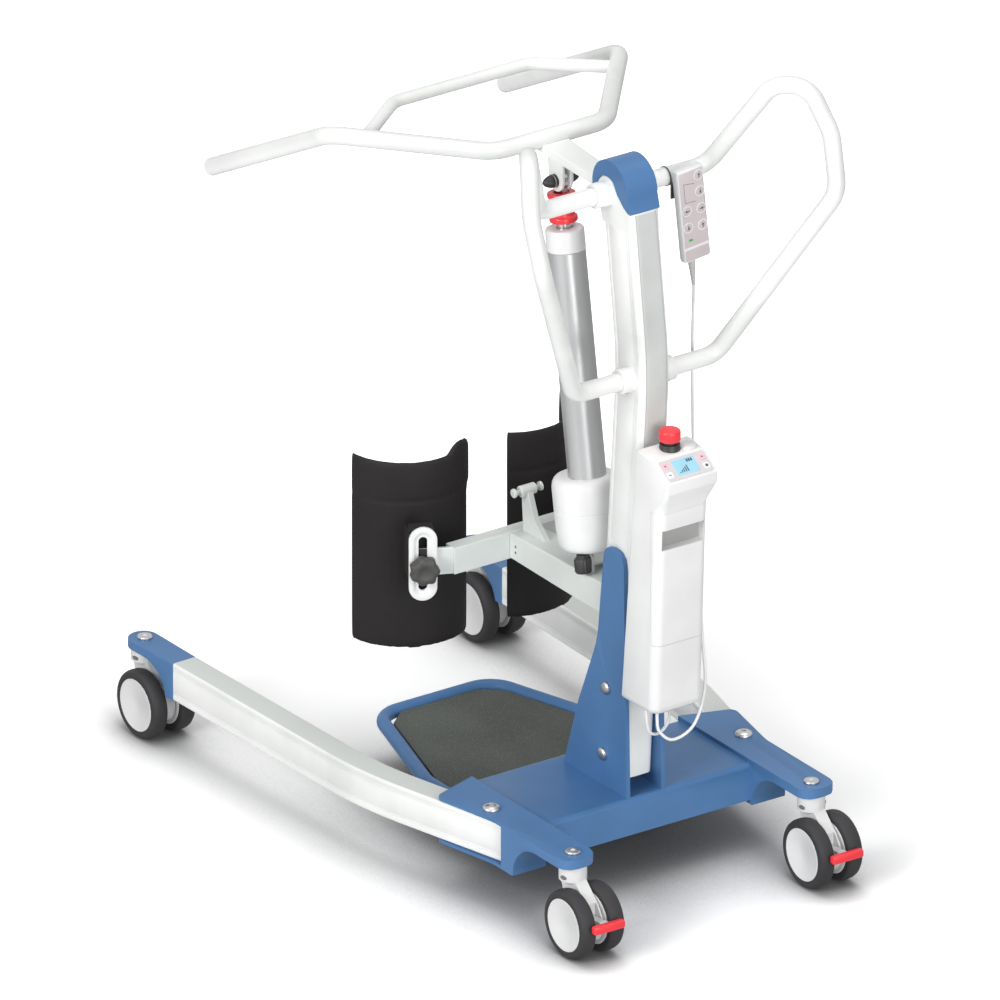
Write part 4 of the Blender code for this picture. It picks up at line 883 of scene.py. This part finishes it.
def swollen(mesh, held, pressure, cap):
    """Cloth filled with air: the mesh is remeshed, blown up over 20 frames where it isn't held, and no
    point ends further than the cap from where it began. Gives the new mesh."""
    start = bpy.data.objects.new("start", mesh)
    bpy.context.scene.collection.objects.link(start)
    voxels = start.modifiers.new("voxels", "REMESH")
    voxels.mode = "VOXEL"
    voxels.voxel_size = VOXEL
    graph = bpy.context.evaluated_depsgraph_get()
    even = bpy.data.meshes.new_from_object(start.evaluated_get(graph))
    bpy.data.objects.remove(start)
    first = np.empty(len(even.vertices) * 3)
    even.vertices.foreach_get("co", first)
    first = first.reshape(-1, 3)
    skin = bpy.data.objects.new("skin", even)
    bpy.context.scene.collection.objects.link(skin)
    group = skin.vertex_groups.new(name="held")
    group.add(np.flatnonzero(held(first)).tolist(), 1.0, "REPLACE")
    cloth = skin.modifiers.new("cloth", "CLOTH")
    cloth.settings.quality = 6
    cloth.settings.mass = 0.3
    cloth.settings.tension_stiffness = 30
    cloth.settings.compression_stiffness = 30
    cloth.settings.bending_stiffness = 1.5
    cloth.settings.use_pressure = True
    cloth.settings.uniform_pressure_force = pressure
    cloth.settings.vertex_group_mass = "held"
    cloth.settings.effector_weights.gravity = 0
    scene = bpy.context.scene
    for moment in range(1, 21):
        scene.frame_set(moment)
    blown = skin.evaluated_get(bpy.context.evaluated_depsgraph_get()).to_mesh()
    last = np.empty(len(even.vertices) * 3)
    blown.vertices.foreach_get("co", last)
    move = last.reshape(-1, 3) - first
    far = np.linalg.norm(move, axis=1)[:, None]
    move *= np.minimum(1, cap / np.maximum(far, 1e-9))
    skin.modifiers.clear()
    scene.frame_set(1)
    bpy.data.objects.remove(skin)
    even.vertices.foreach_set("co", (first + move).ravel())
    even.update()
    return even


loops = pad_grid()
levels, around = loops.shape[:2]
i, j = np.arange(levels - 1)[:, None], np.arange(around)[None, :]
j_next = (j + 1) % around
walls = np.stack([i * around + j, i * around + j_next, (i + 1) * around + j_next, (i + 1) * around + j], -1)
ends = [(a, a + 1, 2 * (around // 2) - 2 - a, 2 * (around // 2) - 1 - a) for a in range(around // 2 - 1)]
top = (levels - 1) * around
pad_mesh = bpy.data.meshes.new("pad")
corners = walls.reshape(-1, 4).tolist() + ends + [tuple(top + k for k in reversed(end)) for end in ends]
pad_mesh.from_pydata(loops.reshape(-1, 3).tolist(), [], corners)


def on_the_back(points):
    """True on the back, which the shell inside holds in shape."""
    return np.hypot(points[:, 0], points[:, 1] + PAD_ARC) > PAD_ARC - VOXEL


pad_mesh = swollen(pad_mesh, on_the_back, 4.0, 0.0035)
spots = np.empty(len(pad_mesh.vertices) * 3)
pad_mesh.vertices.foreach_get("co", spots)
spots = spots.reshape(-1, 3)
away = np.hypot(spots[:, 0], spots[:, 1] + PAD_ARC)
crease = np.exp(-(((spots[:, 2] - 0.064) / 0.0035) ** 2)) * 0.0009 * on_the_back(spots)
spots[:, :2] -= (spots[:, :2] + (0, PAD_ARC)) / away[:, None] * crease[:, None]
for name, side in SIDES:
    mesh = pad_mesh.copy()
    mesh.vertices.foreach_set("co", pad_frame(spots * (side, 1, 1), side).ravel())
    pad = finished("knee_cushion_" + name, mesh, pad_cover, "knee_pad_" + name, ("knee_pad_" + name,), 180)
    smooth = pad.modifiers.new("smooth", "SUBSURF")
    smooth.levels = smooth.render_levels = 1
    channel = mm(-8, 34, 36, 36, 42, 51.5, 63.2, 51.5, 63.2, 46.6, 48.5, 46.6)
    grid = pad_frame(slab(mirrored(channel, 1), (0, 0, 0), Y, Z, -0.016, 0.016), side)
    softened(surface("pad_block_" + name, grid, pad_cover, "knee_pad_" + name), 0.0012)

# ---- The control box and battery ----
# A moulded white housing behind the mast. Its battery pack slides out to the rear by the grip moulded
# in its face, and the red button on a black collar on top stops everything.


def box_bound():
    """The mesh that the housing's soft corners follow. Each level is a rectangle in plan, 86 mm wide, whose
    two rear corners are arcs of 15 mm, of 5 mm at the head. The rear follows the housing's profile, and the
    lowest 12 mm draw in as a quarter of a circle."""
    turn = np.linspace(0, math.pi / 2, 8)
    z = np.concatenate(
        [0.3013 - 0.012 * np.cos(turn), [0.40, 0.50, 0.575, 0.606, 0.623, 0.640, 0.6565, 0.70]]
    )
    inset = np.concatenate([0.012 * (1 - np.sin(turn)), np.zeros(8)])
    radius = np.interp(z, (0.606, 0.640), (0.015, 0.005))
    rear = np.interp(
        z, (0.289, 0.575, 0.606, 0.640, 0.6565), (0.3986, 0.4106, 0.4131, 0.4316, 0.4321)
    ) - inset
    half = 0.0431 - inset
    turn = np.linspace(0, math.pi / 2, 10)[None, :]
    side = (half - radius)[:, None] + radius[:, None] * np.cos(turn)
    back = (rear - radius)[:, None] + radius[:, None] * np.sin(turn)
    x = np.concatenate([half[:, None], side, -side[:, ::-1], -half[:, None]], axis=1)
    y = np.concatenate([np.full((16, 1), 0.30), back, back[:, ::-1], np.full((16, 1), 0.30)], axis=1)
    levels, around = x.shape
    points = np.stack([x, y, np.broadcast_to(z[:, None], x.shape)], -1).reshape(-1, 3).tolist()
    walls = []
    for i in range(levels - 1):
        low, high = i * around, (i + 1) * around
        for j, k in zip(range(around), [*range(1, around), 0]):
            walls.append((low + j, low + k, high + k, high + j))
    mesh = bpy.data.meshes.new("bound")
    mesh.from_pydata(
        points, [], walls + [tuple(range(around))[::-1], tuple(range(len(points) - around, len(points)))]
    )
    return mesh


rounded("control_housing", "control_box", housing_white, "frame", 0.0010, within=box_bound())
rounded("battery_case", "battery_pack", housing_white, "battery", 0.0008, within=box_bound())
STOP = (0, 0.376, 0)  # the foot of the emergency stop's axis
grip_shade = coat("grip_shade", "black_plastic", (0.36, 0.365, 0.355), roughness=0.6)
recess = np.array(
    [(0.0348, 0.3959, 0.5462), (0.0348, 0.3959, 0.5758), (-0.0348, 0.3959, 0.5758), (-0.0348, 0.3959, 0.5462)]
)
surface("grip_back", np.stack([recess, recess + (0, 0.0004, 0)]), grip_shade, "battery")
# A low dome on the box top; its grey is painted shade on that part of the top.
dome = mm(0.6, 678, 13, 678.5, 13.5, 681.2, 13, 682.5, 11.2, 683.8, 8.2, 684.7, 4, 685.2, 0.6, 685.3)
dome = spun(dome, (-0.0255, 0.382, 0), Z, 44)
dome_painted_shade = coat("dome_painted_shade", "white_plastic", (0.66, 0.67, 0.66), roughness=0.40, grain=0.02)
surface("box_dome", dome, dome_painted_shade, "frame")
stop = mm(
    10.6, 688.6, 10.6, 689.1, 13.8, 689.3, 14.3, 688.9, 14.6, 688, 14.6, 683, 15.2, 681.8, 15.2, 680,
    13.6, 679.8, 13.4, 688.4,
)
surface("stop_collar", spun(stop, STOP, Z, 64), satin_black, "frame", loop=True)
sleeve = mm(9.8, 687.6, 10.35, 687.6, 10.35, 693.7, 9.8, 693.7)
surface("stop_sleeve", spun(sleeve, STOP, Z, 48), satin_black, "emergency_stop", loop=True)
stop = mm(
    0.6, 687, 10, 687, 10, 693.5, 14.2, 693.8, 14.9, 694.3, 15.2, 695.4, 15.2, 706.2, 15, 707.6, 14.3, 708.8,
    13, 709.5, 10, 709.7, 0.6, 709.7,
)
surface("stop_button", spun(stop, STOP, Z, 64), signal_red, "emergency_stop", ("emergency_stop",))

# ---- The display ----
# A printed film on the box's sloping top, with a small blue screen and four flat keys. Its marks are
# plain: a battery gauge and a rising line.
slope = np.array((0, -0.035, 0.023)) / math.hypot(0.035, 0.023)
out = np.cross((-1, 0, 0), slope)
panel_middle = np.array((0, 0.4145, 0.668)) + 0.0002 * out


def rounded_box(wide, high, radius, u=0.0, v=0.0):
    """A rectangle's outline with round corners, from its half-sizes, about the point (u, v)."""
    corners = (
        (wide - radius, high - radius, 0), (radius - wide, high - radius, 90),
        (radius - wide, radius - high, 180), (wide - radius, radius - high, 270),
    )
    return np.vstack([arc(u + a, v + b, radius, turn, turn + 90, 6) for a, b, turn in corners])


def film(name, outlines, look, low, high, nodes=(), edge=0.0):
    """Flat shapes on the box's slope, each with its own thickness, with their top edges eased."""
    grids = []
    for shape in outlines:
        grid = slab(shape, panel_middle, (-1, 0, 0), slope, low, high)
        if edge:
            middle = shape.mean(axis=0)
            inner = middle + (shape - middle) * (1 - edge / np.abs(shape - middle).max())
            waist = slab(shape, panel_middle, (-1, 0, 0), slope, low, high - edge)
            lid = slab(inner, panel_middle, (-1, 0, 0), slope, low, high)
            grid = np.stack([waist[0], waist[1], lid[1]])
        grids.append(grid)
    return surface(name, grids, look, "frame", nodes)


panel_grey = coat("panel_film", "grey_plastic", tint(206, 200, 203), roughness=0.30, grain=0.004, lumps=1200)
screen_blue = coat(
    "screen", "grey_plastic", tint(150, 205, 226), roughness=0.12, grain=0.0, lumps=300, mottle=0.12,
    shine=0.4,
)
key_white = coat("key_white", "white_plastic", (0.82, 0.82, 0.82), roughness=0.35)
key_pink = coat("key_pink", "white_plastic", tint(232, 184, 194), roughness=0.35)
print_dark = coat("printed_marks", "black_plastic", tint(60, 66, 84), roughness=0.4)
film(
    "display_film", [rounded_box(0.0375, 0.0175, 0.0030)], panel_grey, 0.0, 0.0008, nodes=("display_panel",),
    edge=0.0002,
)
film("display_screen", [rounded_box(0.0184, 0.0127, 0.0012, 0, 0.0007)], screen_blue, 0.0008, 0.0010)
keys = [rounded_box(0.0048, 0.0050, 0.0014, side * 0.0305, v) for v in (0.0077, -0.0074) for side in (1, -1)]
film("display_keys_top", keys[:2], key_pink, 0.0008, 0.0014, edge=0.0003)
film("display_keys_low", keys[2:], key_white, 0.0008, 0.0014, edge=0.0003)
gauge = [rounded_box(0.0014, 0.0024, 0.0003, 0.0060 + 0.0036 * k, 0.0085) for k in range(3)]
gauge += [
    rounded_box(0.0009, 0.0009 + 0.0011 * k, 0.0002, -0.0130 + 0.0034 * k, -0.0075 + 0.0011 * k)
    for k in range(5)
]
film("display_marks", gauge, print_dark, 0.0010, 0.00105)
signs = []
for side in (1, -1):
    signs.append(np.array(mm(-2, -1.1, 2, -1.1, 0, 1.8)) * (1, side) + (side * 0.0305, 0.0077))
    signs.append(rounded_box(0.0021, 0.0021 if side > 0 else 0.0007, 0.0005, side * 0.0305, -0.0074))
film("display_signs", signs, print_dark, 0.0014, 0.00145)

# ---- The handset ----
# A flat white moulded case with a printed grey face, six membrane keys in white rings, a green lamp and
# a bare plate below them. A black clip on its back hangs it on the push handle.
HANDSET_FACE = 0.2975  # the y of the handset's printed face
case_white = coat(
    "handset_white", "white_plastic", (0.80, 0.805, 0.80), roughness=0.34, grain=0.015, lumps=1000
)
rounded("handset_housing", "handset_case", case_white, "frame", 0.0006)
parts = case_white.node("ShaderNodeSeparateXYZ", {}, case_white.place)
x_place, y_place, z_place = (Value(case_white, parts.socket.node.outputs[k]) for k in range(3))


def inside(across, up, wide, high, radius):
    """1 inside a round-cornered rectangle of those half-sizes, from its distance function."""
    over_x = (abs(across) - (wide - radius)).math("MAXIMUM", 0.0)
    over_y = (abs(up) - (high - radius)).math("MAXIMUM", 0.0)
    gone = (over_x * over_x + over_y * over_y).math("SQRT")
    return gone < radius


skew = math.radians(5.9)
from_middle, from_centre = x_place + 0.0955, z_place - 0.981
across = from_middle * math.cos(skew) - from_centre * math.sin(skew)
up = from_middle * math.sin(skew) + from_centre * math.cos(skew)
face = inside(across - 0.0006, up - 0.0105, 0.0203, 0.0575, 0.0022)
plate = inside(across - 0.0006, up + 0.0595, 0.0203, 0.0085, 0.0040)
printed = face.math("MAXIMUM", plate) * (y_place > HANDSET_FACE - 0.0006)
recolour(case_white, printed, tint(204, 193, 195))

key_tops = {
    "arm_up": (-0.1019, 1.0395), "arm_down": (-0.1045, 1.0145), "legs_open": (-0.0830, 0.9885),
    "legs_close": (-0.1070, 0.9885), "slow": (-0.0855, 0.9630), "fast": (-0.1092, 0.9625),
}
key_grey = coat("key_grey", "grey_plastic", tint(200, 190, 192), roughness=0.40)
rings = []
arrow = np.array(mm(-0.7, -3.2, 0.7, -3.2, 0.7, 0.4, 2.2, 0.4, 0, 3.4, -2.2, 0.4, -0.7, 0.4))
ways = {"arm_up": 0, "arm_down": 180, "legs_open": 90, "legs_close": -90, "slow": 180, "fast": 0}
for name, (x, z) in key_tops.items():
    cap = mm(0.6, -1.8, 5.8, -1.8, 6, -1.6, 6, 0.3, 5.7, 0.7, 4.9, 1, 3, 1.2, 0.6, 1.2)
    grid = spun(cap, (x, HANDSET_FACE, z), Y, 40)
    surface("key_" + name, grid, key_grey, "button_" + name, ("handset_button_" + name,))
    turn = math.radians(ways[name]) + skew
    spin = np.array(((math.cos(turn), -math.sin(turn)), (math.sin(turn), math.cos(turn))))
    mark = slab(arrow @ spin.T * 1.05, (x, HANDSET_FACE, z), (-1, 0, 0), Z, 0.00105, 0.00130)
    surface("key_mark_" + name, mark, print_dark, "button_" + name)
    rim = mm(6.4, -0.2, 6.4, 0.4, 6.8, 0.7, 7.6, 0.7, 8, 0.3, 8.1, -0.2)
    rings.append(spun(rim, (x, HANDSET_FACE, z), Y, 48))
surface("key_rings", rings, key_white, "frame", loop=True)
lamp_green = coat("lamp_green", "grey_plastic", tint(70, 178, 92), roughness=0.20, grain=0.0, shine=0.3)
grid = slab(
    rounded_box(0.0034, 0.0017, 0.0016, 0.0897, 0.9434), (0, HANDSET_FACE, 0), (-1, 0, 0), Z, -0.0002, 0.0006
)
softened(surface("handset_lamp", grid, lamp_green, "frame"), 0.0003, 2)
hook_grey = coat("hook_grey", "black_plastic", tint(74, 76, 76), roughness=0.45)
band = mm(13.4, -73.5, 14.3, -73.5, 14.3, -71.5, 13.4, -71.5)
grid = spun(band, (0, 0.260, 1.031), X, 64)
surface("hook_band", grid, hook_grey, "frame", ("handset_hook",), loop=True)
tongue = slab(
    rounded_box(0.0030, 0.0120, 0.0012, 0.0742, 1.0140), (0, 0.2750, 0), (-1, 0, 0), Z, -0.0012, 0.0012
)
plate = slab(
    rounded_box(0.0165, 0.0100, 0.0020, 0.0905, 1.0130), (0, 0.2785, 0), (-1, 0, 0), Z, -0.0036, 0.0037
)
softened(surface("hook_tongue", [tongue, plate], hook_grey, "frame"), 0.0004, 2)


def bar(start, end, thick=0.0003):
    """The outline of a straight printed line between two points, in the handset's (-x, z)."""
    start, end = np.array(start), np.array(end)
    along = (end - start) / np.linalg.norm(end - start) * thick
    side = along[::-1] * (1, -1)
    return np.array([start - along + side, start - along - side, end + along - side, end + along + side])


route = mm(95, 1028, 77.3, 1030.1, 80.2, 1001.3, 98.5, 1000.8)
marks = [slab(bar(a, b), (0, HANDSET_FACE, 0), (-1, 0, 0), Z, 0.0, 0.00008) for a, b in zip(route, route[1:])]
surface("handset_lines", marks, print_dark, "frame")
steps = np.linspace(0, 1, 61)
ribs = 0.0004 * (np.cos(steps * 2 * math.pi * 7) > 0)
relief = np.column_stack([0.0030 + 0.0030 * steps**1.3 - ribs * (steps < 0.96), 0.0390 * steps])
relief = np.vstack([[(0.0023, 0.0)], relief, [(0.0023, 0.0390)]])
relief_grey = coat("relief_grey", "grey_plastic", tint(196, 196, 194), roughness=0.5)
grid = spun(relief, (-0.1015, 0.2875, 0.8705), (math.sin(skew), 0, math.cos(skew)), 40)
surface("handset_strain_relief", grid, relief_grey, "frame", ("handset_relief",))
